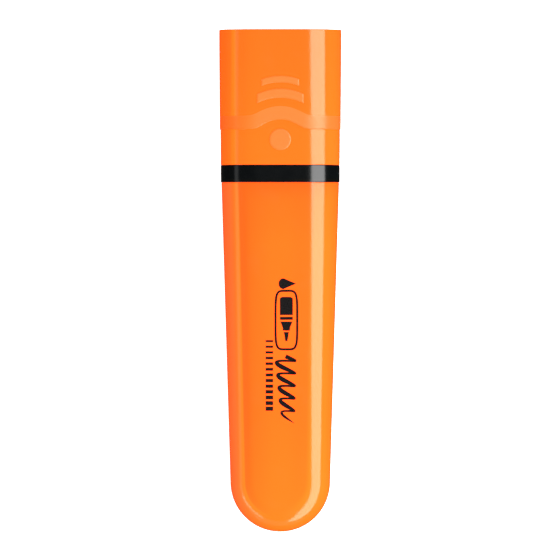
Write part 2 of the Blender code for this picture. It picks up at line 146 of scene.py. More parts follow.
class HighlighterSizes(bpy.types.PropertyGroup):
    """Sizes of the mouldings that the frame doesn't state by itself."""

    edge_ratio: number(
        "Edge ratio", "Width of a rounded edge, in half thicknesses", 1.25, min=0.5, max=1.6
    )
    edge_power: number(
        "Edge power", "Shape of a rounded edge: 2 is an ellipse, more is squarer", 2.4, min=2, max=5
    )
    side_draft: draft("Side draft", "Taper of the barrel's outline on each side", 1.72)
    face_draft: draft("Face draft", "Slope of each of the barrel's faces", 1.91)
    barrel_wall: size("Barrel wall", "Thickness of the barrel's wall", 1.2 * MM)
    cap_wall: size("Cap wall", "Thickness of the cap's wall", 1.15 * MM)
    cap_end_wall: size("Cap end wall", "Thickness of the cap's flat end", 1.6 * MM)
    cap_flare_width: size("Cap flare, width", "Growth of half the width to the end", 0.22 * MM)
    cap_flare_thickness: size("Cap flare, thickness", "Growth of half the thickness", 0.7 * MM)
    edge_round: size("Edge round", "Radius on the mouldings' outer edges", 0.3 * MM)
    seam_gap: size("Seam gap", "Visible gap where two mouldings meet", 0.05 * MM)


class HighlighterRelief(bpy.types.PropertyGroup):
    """The raised hood of the cap and the ripples under the thumb."""

    hood_raise: size("Hood raise", "How far the hood stands out of the cap's skirt", 0.17 * MM)
    hood_edge: size("Hood edge", "Height of the hood's level edge above the mouth", 8.02 * MM)
    band_width: size("Band width", "Width of the satin band above the hood's edge", 3.1 * MM)
    arch_height: size("Arch height", "How far the band rises in the middle", 2.2 * MM)
    arch_lower: size("Lower arch half width", "Half width of the lower edge's arch", 5.4 * MM)
    arch_upper: size("Upper arch half width", "Half width of the upper edge's arch", 6.2 * MM)
    ripple_raise: size("Ripple raise", "How far the button and arcs stand proud", 0.15 * MM)
    button_height: size("Button height", "Height of its centre above the mouth", 5.7 * MM)
    button_radius: size("Button radius", "Radius of the button", 2.5 * MM)
    arc_radius: size("Arc radius", "Radius of both arcs", 12.0 * MM)


class HighlighterFinish(bpy.types.PropertyGroup):
    """Colours and gloss."""

    # deep and pale are a shaded and a lit copy of one orange: the ramps below blend them into
    # painted shade and painted light.
    deep: colour("Deep orange", "The plastic where least light comes back", (0.95, 0.042, 0.0045))
    pale: colour("Pale orange", "The plastic where most light comes back", (0.95, 0.096, 0.0065))
    # blush: a painted pink shade on the barrel's left edge.
    blush: colour("Edge blush", "The barrel's left edge, seen end on", (0.95, 0.072, 0.022))
    satin: colour("Satin orange", "The etched band, arcs and button", (0.95, 0.078, 0.009))
    # A darker copy of the satin colour: painted shade on the band's left side.
    satin_edge: colour("Satin edge", "The etched band round the left side", (0.95, 0.06, 0.0012))
    # The dye's fluorescence, given as emission: it glows with no lamp and lifts the shaded edges,
    # so it is partly painted light.
    glow: colour("Fluorescence", "Light given back by the dye", (1.0, 0.1, 0.002))
    glow_strength: fraction("Fluorescence strength", "How strongly the dye gives it back", 0.6)
    gloss_roughness: fraction("Gloss roughness", "Roughness of the polished plastic", 0.12)
    satin_roughness: fraction("Satin roughness", "Roughness of the etched relief", 0.31)
    black: colour("Black", "Plastic of the nib holder", (0.0012, 0.0016, 0.0018))
    ink: colour("Print", "Printing ink", (0.003, 0.0025, 0.0025))
    fibre: colour("Nib fibre", "Porous fibre soaked with ink", (0.9, 0.15, 0.015))
    wadding: colour("Reservoir fibre", "Wadding soaked with ink", (0.9, 0.2, 0.03))
    liner: colour("Liner", "Uncoloured plastic of the inner cap", (0.82, 0.8, 0.74))
    film: colour("Film", "Clear sleeve round the reservoir", (0.9, 0.9, 0.88))


class HighlighterStage(bpy.types.PropertyGroup):
    """Floor, lights and camera."""

    floor: colour("Floor", "Pale floor", (0.8, 0.8, 0.8))
    floor_glow: fraction("Floor glow", "Light from the sheet, which thins the shadow", 0.8, 4.0)
    floor_radius: size("Floor radius", "Where the floor has faded out", 0.9)
    view_width: size("View width", "What the camera takes in at the pen", 129.48 * MM)
    camera_distance: size("Camera distance", "From the pen's centre line", 2.0)
    light_height: size("Light height", "Height of the lights over the pen", 1.0)
    key_radiance: number("Key light", "Radiance of the wide light on the right", 6.8)
    strip_radiance: number("Strip light", "Radiance of the narrow light on the left", 0.75)
    front_radiance: number("Front light", "Radiance of the soft light beyond the tip", 0.5)
    corner_radiance: number("Corner light", "Radiance of the light by the round end", 3.6)
    fill: fraction("Fill", "Even light from all round", 1.0, 4.0)
    fill_lean: fraction("Fill lean", "How much stronger the fill is from the right", 0.5, 4.0)
    surround: fraction("Surround", "What the gloss reflects beside the lights", 0.03, 4.0)


def sizes():
    return bpy.context.scene.highlighter_sizes


def relief():
    return bpy.context.scene.highlighter_relief


def finish_settings():
    return bpy.context.scene.highlighter_finish


# ------------------------------------------------------------------ surfaces

EDGE_STEPS, FACE_STEPS = 44, 36
HIDDEN_EDGE_STEPS, HIDDEN_FACE_STEPS = 20, 8
NIB_FACE_STEPS = 16
STRAIGHT_ROWS, ROUND_END_ROWS = 40, 44
LINER_STEPS = 96
ROW_STEP = 1.2 * MM
MOST_CUT = 0.45  # of a side, so that the arcs at its two ends don't meet
NEAREST_STOP = 0.3  # of a step, so that an added point isn't crowded
WELD = 1e-7
SHARP_ANGLE = math.radians(40)


class Ring:
    """The oval section as three arrays over its points.

    face runs from 1 to -1 across the flat face and keeps its sign round each edge;
    edge is cos^(2/p) of an angle that goes from the outline to the face, with the
    side's sign, and is 0 on the flat; rise is sin^(2/p) of that angle, with the
    sign of the front or back.
    """

    def __init__(self, power, edge_steps=EDGE_STEPS, face_steps=FACE_STEPS):
        angle = np.linspace(0, math.pi / 2, edge_steps + 1)
        edge = np.cos(angle).clip(0) ** (2 / power)
        edge[-1] = 0
        rise = np.sin(angle) ** (2 / power)
        flat = np.linspace(1, -1, face_steps + 1)[1:-1]
        upper_face = np.concatenate((np.ones(edge.size), flat, -np.ones(edge.size)))
        upper_edge = np.concatenate((edge, np.zeros(flat.size), -edge[::-1]))
        upper_rise = np.concatenate((rise, np.ones(flat.size), rise[::-1]))
        self.face = np.concatenate((upper_face, upper_face[-2:0:-1]))
        self.edge = np.concatenate((upper_edge, upper_edge[-2:0:-1]))
        self.rise = np.concatenate((upper_rise, -upper_rise[-2:0:-1]))
        self.count = self.face.size


def column(values):
    return np.asarray(values, float).reshape(-1, 1)


def level(x, y, z):
    """Sections of points, each at one y along the pen."""
    return np.stack((x, y + 0 * x, z), -1)


def slab(ring, outline_x, outline_y, turn, edge, thickness):
    """Sections through a flat body, each square to its outline.

    A point lies on the outline point plus edge * (1 - ring.edge) towards the inside;
    turn is the outline's normal, as an angle from the pen's x axis.  Its height is
    ring.rise times the half thickness at the point's own y, so faces stay planes.
    """
    turn, edge = column(turn), column(edge)
    inner_x = column(outline_x) - np.cos(turn) * edge
    inner_y = column(outline_y) - np.sin(turn) * edge
    x = ring.face * inner_x + ring.edge * np.cos(turn) * edge
    y = inner_y + np.abs(ring.edge) * np.sin(turn) * edge
    return np.stack((x, y, ring.rise * thickness(y)), -1)


def ovals(ring, y, half_width, half_thickness, ratio):
    """Level sections, whose rounded edges are ratio times the half thickness wide."""
    half_thickness = column(half_thickness)
    edge = ratio * half_thickness
    x = ring.face * (column(half_width) - edge) + ring.edge * edge
    return level(x, column(y), ring.rise * half_thickness)


def round_boxes(ring, y, half_width, half_thickness, corner):
    """Level sections of a rectangle with round corners."""
    half_width, half_thickness, corner = column(half_width), column(half_thickness), column(corner)
    x = ring.face * (half_width - corner) + ring.edge * corner
    z = np.sign(ring.rise) * (half_thickness - corner) + ring.rise * corner
    return level(x + 0 * column(y), column(y), z + 0 * column(y))


def circles(count, y, radius):
    """Circles round the centre line, with as many points as the other rings."""
    angle = np.linspace(0, 2 * math.pi, count, endpoint=False)
    return level(column(radius) * np.cos(angle), column(y), column(radius) * np.sin(angle))


def bar(y, x, low, high):
    """Rectangular sections along the pen, centred on x[0] with half width x[1], and closed."""
    middle, half = x
    y, low, high = column(y), column(low), column(high)
    across = middle + half * np.array((1, 1, -1, -1)) + 0 * y
    rows = level(across, y, np.concatenate((low, high, high, low), 1))
    return np.concatenate((pole(rows[0]), rows, pole(rows[-1])))


def pole(row):
    """The row drawn together into its middle, which closes a skin."""
    return np.broadcast_to(row.mean(0), row.shape)[None]


def folded(row):
    """Closes a flat end: each point of the top is drawn down to the one beneath it."""
    under = row[len(row) // 2 :]
    return np.concatenate((under[::-1], under))[None]


def rounded(points, radius, steps=5, measured=None):
    """A polyline with its inner corners turned into arcs.

    Each corner is replaced by the quadratic curve that leaves one side and meets the
    other at the same distance from the corner: radius, or at most a share of a side.
    Only the first measured columns are lengths; the others are carried along.
    """
    points = np.asarray(points, float)
    before, corner, after = points[:-2], points[1:-1], points[2:]
    to_before, to_after = before - corner, after - corner
    length_before = np.linalg.norm(to_before[:, :measured], axis=1, keepdims=True)
    length_after = np.linalg.norm(to_after[:, :measured], axis=1, keepdims=True)
    cut = np.minimum(column(radius), MOST_CUT * np.minimum(length_before, length_after))
    start = (corner + to_before / length_before * cut)[:, None]
    end = (corner + to_after / length_after * cut)[:, None]
    t = np.linspace(0, 1, steps + 1)[None, :, None]
    arcs = (1 - t) ** 2 * start + 2 * t * (1 - t) * corner[:, None] + t**2 * end
    return np.concatenate((points[:1], arcs.reshape(-1, points.shape[1]), points[-1:]))


def refined(points, step, measured=None):
    """The same polyline with points added so that no side is longer than step."""
    sides = np.linalg.norm(np.diff(points[:, :measured], axis=0), axis=1)
    travel = np.concatenate(((0,), np.cumsum(sides)))
    added = np.arange(0, travel[-1], step)
    near = np.abs(added[:, None] - travel).min(1) < NEAREST_STOP * step
    stops = np.sort(np.concatenate((travel, added[~near])))
    return np.stack([np.interp(stops, travel, values) for values in points.T], -1)


def weld(mesh):
    """Merges the points that coincide at poles and seams."""
    welded = bmesh.new()
    welded.from_mesh(mesh)
    bmesh.ops.remove_doubles(welded, verts=welded.verts, dist=WELD)
    bmesh.ops.dissolve_degenerate(welded, edges=welded.edges, dist=WELD)
    welded.to_mesh(mesh)
    welded.free()


def add_object(name, data):
    made = bpy.data.objects.new(name, data)
    bpy.context.scene.collection.objects.link(made)
    return made


class Shape:
    """Points and quads gathered for one piece, with a finish number for each quad."""

    def __init__(self):
        self.points, self.quads, self.finishes = [], [], []
        self.total = 0

    def skin(self, rows, closed_path=False, finish=0):
        """A skin through rings of points.  finish may be one number for each row of quads."""
        count, width = rows.shape[:2]
        index = np.arange(count * width).reshape(count, width)
        if closed_path:
            index = np.concatenate((index, index[:1]))
        near, far = index[:-1], index[1:]
        quads = np.stack((near, np.roll(near, -1, 1), np.roll(far, -1, 1), far), -1)
        marks = np.broadcast_to(column(finish), quads.shape[:2])
        quads = quads.reshape(-1, 4)
        flat = rows.reshape(-1, 3)
        a, b, c, d = (flat[quads[:, k]] for k in range(4))
        # Six times the volume that the quads enclose: below 0, they face inwards.
        volume = np.einsum("ij,ij->", a - flat.mean(0), np.cross(c - a, d - b))
        if volume < 0:
            quads = quads[:, ::-1]
        self.points.append(flat)
        self.quads.append(quads + self.total)
        self.finishes.append(marks.reshape(-1))
        self.total += len(flat)
        return self

    def piece(self, name, body, materials, slot, replaces=()):
        """Makes the object, welds its poles and seams, and sets it on its body."""
        mesh = bpy.data.meshes.new(name)
        points, quads = to_frame(np.concatenate(self.points)), np.concatenate(self.quads)
        mesh.from_pydata(points.tolist(), [], quads.tolist())
        for material in materials:
            mesh.materials.append(material)
        mesh.polygons.foreach_set("material_index", np.concatenate(self.finishes).astype(np.int32))
        mesh.update()
        weld(mesh)
        mesh.shade_smooth()
        mesh.set_sharp_from_angle(angle=SHARP_ANGLE)
        made = add_object(name, mesh)
        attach(made, body)
        if replaces:
            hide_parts(*replaces)
        return made




# ------------------------------------------------------------------ shaders


class Value:
    """A number on a shader socket that takes part in Python arithmetic."""

    def __init__(self, nodes, socket):
        self.nodes, self.socket = nodes, socket

    def math(self, operation, *values):
        return self.nodes.math(operation, self, *values)

    def __add__(self, other):
        return self.math("ADD", other)

    def __sub__(self, other):
        return self.math("SUBTRACT", other)

    def __mul__(self, other):
        return self.math("MULTIPLY", other)

    def __truediv__(self, other):
        return self.math("DIVIDE", other)

    def __radd__(self, other):
        return self.nodes.math("ADD", other, self)

    def __rsub__(self, other):
        return self.nodes.math("SUBTRACT", other, self)

    def __rmul__(self, other):
        return self.nodes.math("MULTIPLY", other, self)

    def __rtruediv__(self, other):
        return self.nodes.math("DIVIDE", other, self)

    def ease(self, start, end):
        """0 before start, 1 after end, with a smooth passage between them."""
        settings = {"interpolation_type": "SMOOTHSTEP"}
        inputs = {"Value": self, "From Min": start, "From Max": end}
        return self.nodes.node("ShaderNodeMapRange", settings, inputs)

    def between(self, at_zero, at_one):
        """A straight line from one value to another as this goes from 0 to 1."""
        inputs = {"Value": self, "To Min": at_zero, "To Max": at_one}
        return self.nodes.node("ShaderNodeMapRange", inputs=inputs)

    def ramp(self, stops):
        """Straight lines through stops of (value, level), and level beyond both ends."""
        first, last = stops[0][0], stops[-1][0]
        placed = [((at - first) / (last - first), (*[share] * 3, 1)) for at, share in stops]
        inputs = {0: (self - first) / (last - first)}
        return self.nodes.node("ShaderNodeValToRGB", {"stops": placed}, inputs)


class Nodes:
    """The nodes of one tree."""

    def __init__(self, tree):
        self.tree = tree

    def node(self, kind, settings=(), inputs=(), output=0):
        """A node with its settings, then its sockets' values or links; returns one output."""
        made = self.tree.nodes.new(kind)
        for name, value in dict(settings).items():
            if name == "stops":
                elements = made.color_ramp.elements
                for place, _ in value[len(elements) :]:
                    elements.new(place)
                for element, (place, tint) in zip(elements, value):
                    element.position, element.color = place, tint
            else:
                setattr(made, name, value)
        for name, value in dict(inputs).items():
            self.feed(made.inputs[name], value)
        return Value(self, made.outputs[output])

    def math(self, operation, *values):
        return self.node("ShaderNodeMath", {"operation": operation}, dict(enumerate(values)))

    def feed(self, socket, value):
        if isinstance(value, Value):
            self.tree.links.new(value.socket, socket)
        else:
            socket.default_value = value


# The colour sockets of a Mix node, which share their names with its other sockets.
MIX_FIRST, MIX_SECOND, MIX_RESULT = 6, 7, 2


class Finish(Nodes):
    """A material in the making, built round one Principled shader."""

    def __init__(self, name, **constants):
        self.material = bpy.data.materials.new(name)
        self.material.use_nodes = True
        super().__init__(self.material.node_tree)
        self.shader = self.tree.nodes["Principled BSDF"]
        self.set(**constants)

    def set(self, **values):
        """Feeds the Principled shader's own sockets, named with underscores for spaces."""
        for name, value in values.items():
            socket = self.shader.inputs[name.replace("_", " ")]
            if socket.type == "RGBA" and not isinstance(value, Value):
                value = (*value, 1)
            self.feed(socket, value)
        return self

    def place(self):
        """The point on the pen's own axes, in metres, as a vector output."""
        coordinates = self.node("ShaderNodeTexCoord", output="Object")
        origin = tuple(to_frame(np.zeros(3)))
        inputs = {"Vector": coordinates, "Location": origin, "Rotation": (LEAN, 0, 0)}
        return self.node("ShaderNodeMapping", {"vector_type": "TEXTURE"}, inputs)

    def axis(self, place, output):
        return self.node("ShaderNodeSeparateXYZ", inputs={"Vector": place}, output=output)

    def noise(self, place, scale, detail=2.0, stretch=(1, 1, 1)):
        """Even noise about one half, scale features to the metre, stretched along the axes."""
        mapped = self.node("ShaderNodeMapping", inputs={"Vector": place, "Scale": stretch})
        inputs = {"Vector": mapped, "Scale": scale, "Detail": detail}
        return self.node("ShaderNodeTexNoise", inputs=inputs)

    def blend(self, amount, first, second):
        """first where amount is 0 and second where it is 1; each a colour or a colour output."""
        first, second = (c if isinstance(c, Value) else (*c, 1) for c in (first, second))
        inputs = {"Factor": amount, MIX_FIRST: first, MIX_SECOND: second}
        return self.node("ShaderNodeMix", {"data_type": "RGBA"}, inputs, MIX_RESULT)

    def mottled(self, amount, tint, darkest, lightest):
        """A colour times a factor, which goes from one to the other with the amount."""
        return self.blend(amount, scaled(tint, darkest), scaled(tint, lightest))

    def bump(self, height, distance):
        return self.node("ShaderNodeBump", inputs={"Height": height, "Distance": distance})


def scaled(tint, factor):
    """A colour made lighter or darker by a factor."""
    return tuple(min(channel * factor, 1.0) for channel in tint)


# Features to the metre.
ORANGE_PEEL = 700  # the waviness of a polished mould, about 1.4 mm
SATIN_GRAIN = 9000  # the grain of an etched mould, about 0.1 mm
SCUFFS = 260
DYE_DRIFT = 35
CARBON_CLOUD = 400
MILKY_CLOUD = 300
FILM_HAZE = 500
INK_MOTTLE = 4000
PAPER_GRAIN = 900
PEEL_DEPTH, GRAIN_DEPTH, STRAND_DEPTH = 0.002 * MM, 0.01 * MM, 0.06 * MM
PLASTIC_IOR, POLYETHYLENE_IOR = 1.5, 1.51
AMBER_GLOSS = (1.0, 0.95, 0.75)
STRAND_STRETCH = (1, 1 / 30, 1)
# Emission of the ink-soaked fibres, for the ink's fluorescence: it glows with no lamp, so it is
# partly painted light.
FIBRE_GLOW = 0.25
NIB_STRANDS, WADDING_STRANDS = 0.12 * MM, 0.2 * MM


def orange_base(name):
    """Orange plastic's constants: dyed right through, so its gloss is a little amber."""
    look = finish_settings()
    return Finish(
        name,
        IOR=PLASTIC_IOR,
        Specular_Tint=AMBER_GLOSS,
        # Emission for the dye's fluorescence: it glows with no lamp, so it is partly painted light.
        Emission_Color=look.glow,
        Emission_Strength=look.glow_strength,
    )


def polished_orange(name, paleness, blush):
    """Fluorescent plastic from a polished mould.

    Colour: painted shade and painted light, from deep to pale orange by an amount that
    paleness works out from the point's places along and across the pen, with a slow
    drift of a few hundredths, and then towards the blush colour, a painted pink shade,
    by what blush works out.
    """
    look = finish_settings()
    finish = orange_base(name)
    place = finish.place()
    drift = finish.noise(place, DYE_DRIFT, 1.0)
    along, across = finish.axis(place, "Y"), finish.axis(place, "X")
    amount = paleness(along, across) + 0.1 * (drift - 0.5)
    orange = finish.blend(amount, look.deep, look.pale)
    wear = finish.noise(place, SCUFFS, 4.0).ease(0.5, 0.8)
    peel = finish.noise(place, ORANGE_PEEL, 1.0)
    return finish.set(
        Base_Color=finish.blend(blush(along, across), orange, look.blush),
        Roughness=look.gloss_roughness * (1 + 0.35 * wear),
        Normal=finish.bump(peel, PEEL_DEPTH),
    ).material


# Places across, in half widths, and how pale the cap is there: painted light and shade, with a
# painted highlight stripe from -0.78 to -0.745.
CAP_PAINTED_LIGHT = (
    *((-0.96, 0.7), (-0.88, 0.5), (-0.81, 0.55), (-0.78, 1.0), (-0.745, 1.0), (-0.71, 0.4)),
    *((-0.6, 0.32), (-0.48, 0.36), (0.4, 0.36), (0.52, 0.42), (0.8, 0.58), (0.95, 0.6)),
)
# Painted light: how much paler the cap turns towards its mouth.
MOUTH_PAINTED_LIGHT = 0.2
# The same for the barrel's wall: painted shade left of the face, a painted highlight stripe from
# -0.765 to -0.72, and painted light on the right side.
WALL_PAINTED_LIGHT_AND_SHADE = (
    *((-0.93, 0.6), (-0.82, 0.5), (-0.765, 0.97), (-0.72, 0.97), (-0.695, 0.06)),
    *((-0.62, 0.05), (-0.52, 0.25), (-0.33, 0.38), (-0.15, 0.5), (0.1, 0.52)),
    *((0.35, 0.44), (0.5, 0.45), (0.6, 0.95), (0.8, 0.9), (0.92, 0.75)),
)
MEAN_PAINTED_LIGHT = 0.5
# Distances from the mouth, and what the painted shade near the collar, standing for the dark plug
# behind the wall, leaves of the paleness there.
PLUG_PAINTED_SHADE = (
    *((0.0, 0.0), (1.5 * MM, 0.24), (2.5 * MM, 0.42), (4.3 * MM, 0.64)),
    *((6.6 * MM, 0.72), (10.0 * MM, 0.82), (14.0 * MM, 1.0)),
)
# Places across, and how much of that painted shade falls there.
PLUG_PAINTED_SHADE_SPAN = ((-0.8, 0.1), (-0.735, 0.1), (-0.71, 1.0), (0.5, 1.0), (0.6, 0.6), (0.9, 0.55))
# Places across, and how much of the painted pink shade the barrel's left edge takes there.
EDGE_PAINTED_SHADE = ((-0.98, 1.0), (-0.86, 0.75), (-0.8, 0.3), (-0.72, 0.1), (-0.6, 0.0))
# Painted light: the barrel turns paler over this reach from the round end's tip.
TIP_PAINTED_LIGHT_REACH = 32 * MM
TIP_PAINTED_LIGHT = 0.25


def cap_painted_light_and_shade(along, across):
    """Painted light and shade: palest near both edges, and a little paler towards the mouth."""
    wall = (across / CAP[1][0]).ramp(CAP_PAINTED_LIGHT)
    return wall + MOUTH_PAINTED_LIGHT * along.ease(CAP[1][1], CAP[0][1])


def barrel_share(along, across):
    """Share of the way from the barrel's centre line to its outline, with x's sign.

    Round the end, the distance from the end circle's centre stands for the distance
    from the centre line.  Also returns how far the point faces sideways there, from 1
    along the sides to 0 at the tip.
    """
    barrel = Barrel()
    outline = along * barrel.side + barrel.half_width(0)
    beyond = (along - barrel.radius).math("MINIMUM", 0.0)
    distance = (across * across + beyond * beyond).math("SQRT")
    side = across / distance
    return distance / outline * across.math("SIGN"), side * side


def barrel_painted_light_and_shade(along, across):
    """Painted light and shade: paler on the right side and darker left of the face.

    The ramp over the barrel's width, with a painted highlight stripe on the left, fades
    to its mean towards the tip.  Painted shade darkens it near the collar, where the
    dark plug lies behind the wall, less at the wall's edges, and painted light makes
    the round end paler.
    """
    place, sideways = barrel_share(along, across)
    wall = (place.ramp(WALL_PAINTED_LIGHT_AND_SHADE) - MEAN_PAINTED_LIGHT) * sideways + MEAN_PAINTED_LIGHT
    shade = (1 - (BARREL[1][1] - along).ramp(PLUG_PAINTED_SHADE)) * place.ramp(PLUG_PAINTED_SHADE_SPAN)
    return wall * (1 - shade) + TIP_PAINTED_LIGHT * along.ease(TIP_PAINTED_LIGHT_REACH, 0)


def barrel_painted_shade_tint(along, across):
    """Painted shade: the barrel's left edge, on its shaded side, takes a pink tinge."""
    place, sideways = barrel_share(along, across)
    return place.ramp(EDGE_PAINTED_SHADE) * sideways


def no_painted_tint(along, across):
    return 0.0


def satin_orange():
    """The same plastic from an etched mould: a fine grain that scatters the light."""
    look = finish_settings()
    finish = orange_base("satin_orange")
    place = finish.place()
    grain = finish.noise(place, SATIN_GRAIN, 3.0)
    # Painted shade: towards the cap's left side the band turns to the darker satin edge colour.
    face = (finish.axis(place, "X") / CAP[1][0]).ease(-0.75, -0.35)
    grained = finish.mottled(grain, look.satin, 0.97, 1.03)
    return finish.set(
        Base_Color=finish.blend(face, look.satin_edge, grained),
        Roughness=look.satin_roughness * (0.9 + 0.2 * grain),
        Normal=finish.bump(grain, GRAIN_DEPTH),
    ).material


def black_plastic():
    """Polished black, with the faint cloudiness of carbon-filled plastic."""
    look = finish_settings()
    finish = Finish("black_plastic", IOR=PLASTIC_IOR)
    place = finish.place()
    cloud = finish.noise(place, CARBON_CLOUD, 3.0)
    peel = finish.noise(place, ORANGE_PEEL, 1.0)
    return finish.set(
        Base_Color=finish.mottled(cloud, look.black, 0.8, 1.3),
        Roughness=look.gloss_roughness * (1.0 + 0.6 * cloud),
        Normal=finish.bump(peel, PEEL_DEPTH),
    ).material


def fibre(name, tint, spacing, roughness):
    """Bundled fibre along the pen: noise drawn out along y gives the strands."""
    tint = tuple(tint)
    finish = Finish(name, Roughness=roughness, Emission_Strength=FIBRE_GLOW, Emission_Color=tint)
    place = finish.place()
    strands = finish.noise(place, 1 / spacing, 3.0, STRAND_STRETCH)
    mottle = finish.noise(place, 0.15 / spacing, 2.0)
    shade = (0.6 * strands + 0.4 * mottle).ease(0.3, 0.7)
    return finish.set(
        Base_Color=finish.mottled(shade, tint, 0.72, 1.08),
        Normal=finish.bump(strands, STRAND_DEPTH),
    ).material


def liner_plastic():
    """Natural polyethylene: milky, waxy and slightly uneven."""
    finish = Finish("liner_plastic", IOR=POLYETHYLENE_IOR, Subsurface_Weight=0.15)
    cloud = finish.noise(finish.place(), MILKY_CLOUD, 2.0)
    return finish.set(
        Base_Color=finish.mottled(cloud, finish_settings().liner, 0.95, 1.04),
        Roughness=0.3 + 0.15 * cloud,
    ).material


def clear_film():
    """Thin glossy sleeve with a slight haze."""
    finish = Finish("clear_film", Base_Color=finish_settings().film, Alpha=0.35)
    haze = finish.noise(finish.place(), FILM_HAZE, 2.0)
    return finish.set(Roughness=0.08 + 0.12 * haze).material


def printing_ink():
    """Pad-printed ink: a dense, slightly dull film with pinhole mottle."""
    finish = Finish("printing_ink", Specular_IOR_Level=0.12)
    mottle = finish.noise(finish.place(), INK_MOTTLE, 3.0)
    return finish.set(
        Base_Color=finish.mottled(mottle, finish_settings().ink, 1.0, 2.2),
        Roughness=0.2 + 0.15 * mottle,
    ).material


# ------------------------------------------------------------------ barrel and cap

RIB_CLEARANCE = 0.15 * MM
RIB_STOP_LENGTH = 4.0 * MM
RIB_STOP_HALF_GAP = 1.5 * MM
RIB_OFFSET = 4.2 * MM
RIB_THICKNESS = 1.0 * MM
RIB_ROOT = 0.4 * MM


class Barrel:
    """The barrel's outline and thickness, from its mouth in the frame and its two drafts."""

    def __init__(self):
        s = sizes()
        self.draft, self.ratio = s.side_draft, s.edge_ratio
        self.side, self.face = math.tan(s.side_draft), math.tan(s.face_draft)
        self.mouth_width, self.length, self.mouth_thickness = BARREL[1]
        self.radius = self.half_width(0) * math.cos(self.draft) / (1 - math.sin(self.draft))

    def half_width(self, y):
        return self.mouth_width - (self.length - y) * self.side

    def half_thickness(self, y):
        return self.mouth_thickness - (self.length - y) * self.face

    def rows(self, ring, along, inset, end_rows):
        """Sections along the straight sides, then round the end to the centre line.

        along runs from the mouth to the tip's side; inset is how far inside the
        outline each of those sections lies, and the last one holds round the end.
        There the outline is a circle that the sides meet as tangents, and each
        section turns with it, so that the rounded edge closes on the centre line.
        """
        radius = self.radius - inset[-1]
        turn = np.linspace(-self.draft, -math.pi / 2, end_rows)
        touch = self.radius + radius * math.sin(-self.draft)
        reached = (along - along[0]) / (touch - along[0])
        x = np.concatenate((self.half_width(along) - inset, radius * np.cos(turn)))
        y = np.concatenate((along, self.radius + radius * np.sin(turn)))
        turns = np.concatenate((-self.draft * reached.clip(0, 1), turn))
        insets = np.concatenate((inset, np.full(end_rows, inset[-1])))
        edge = self.ratio * self.half_thickness(y) - insets
        return slab(ring, x, y, turns, edge, lambda at: self.half_thickness(at) - column(insets))


def make_barrel():
    """One closed skin: up the inside from the tip, round the lip and down the outside.

    The lip is a flat ring with a small round on its outer corner.  Four ribs, each a
    bar with a taller stop at its rear, hold the reservoir.
    """
    s, barrel = sizes(), Barrel()
    ring = Ring(s.edge_power)
    mouth, lip = REAR_SEAM - s.seam_gap / 2, s.edge_round / 3
    side_end = barrel.radius * (1 - math.sin(barrel.draft))
    turn = np.linspace(math.pi / 2, 0, 6)
    lip_y, lip_inset = mouth - lip * (1 - np.sin(turn)), lip * (1 - np.cos(turn))
    side = np.linspace(mouth - lip, side_end, STRAIGHT_ROWS)[1:-1]
    along, inset = np.concatenate((lip_y, side)), np.concatenate((lip_inset, 0 * side))
    outside = barrel.rows(ring, along, inset, ROUND_END_ROWS)
    side = np.linspace(mouth, side_end + s.barrel_wall, STRAIGHT_ROWS // 2)[:-1]
    inside = barrel.rows(ring, side, 0 * side + s.barrel_wall, ROUND_END_ROWS // 2)
    shape = Shape().skin(np.concatenate((inside[::-1], outside)))

    stop_front = FILM[0][1] - RIB_CLEARANCE
    stop_rear, rib_front = stop_front - RIB_STOP_LENGTH, HOLDER[0][1] - RIB_CLEARANCE
    y = np.array((stop_rear, stop_front, stop_front, rib_front))
    rib_face = half_size(FILM)[1] + RIB_CLEARANCE
    low = np.array((RIB_STOP_HALF_GAP, RIB_STOP_HALF_GAP, rib_face, rib_face))
    root = barrel.half_thickness(y) - s.barrel_wall + RIB_ROOT
    for x in (-RIB_OFFSET, RIB_OFFSET):
        for face in (-1, 1):
            shape.skin(bar(y, (x, RIB_THICKNESS / 2), face * low, face * root))
    orange = polished_orange("barrel_orange", barrel_painted_light_and_shade, barrel_painted_shade_tint)
    return shape.piece("barrel_moulding", "pen", [orange], "orange_plastic", ["barrel"])


ARCH_SOFTNESS = 0.3
HOOD_STEP = 0.12 * MM  # length over which the skirt rises to the hood
CAVITY_LEAD = 0.25 * MM
CAVITY_DRAFT = 0.1 * MM
BEAD_PLACE = COLLAR_FRONT + 5.35 * MM
BEAD_HALF_LENGTH = 0.7 * MM
BEAD_RAISE = 0.15 * MM
SEAT_RING_DEPTH = 2.3 * MM
SEAT_RING_WALL = 0.55 * MM
SEAT_CLEARANCE = 0.2 * MM
END_SHARES = (1, 0.35)  # of the cap's rim, where the flat end starts and meets the gate mark
GATE_RADIUS, GATE_DEPTH = 1.5 * MM, 0.15 * MM
# The gate mark from its rim to its middle: share of its radius, and of its depth.
GATE = ((1.1, 0), (1.0, 0), (0.9, 1), (0.4, 1), (0.3, 0.2), (0.2, 0.2))


def wave(x, half_width):
    """Height of the band's wave at x: a parabola that eases into a level line.

    With u = 1 - (x / half width)^2 it is the height times (u + sqrt(u^2 + e^2)) / 2,
    which is u where u is well over 0, and falls to nothing where u is negative.
    """
    u = 1 - (x / half_width) ** 2
    return relief().arch_height * (u + np.hypot(u, ARCH_SOFTNESS)) / 2


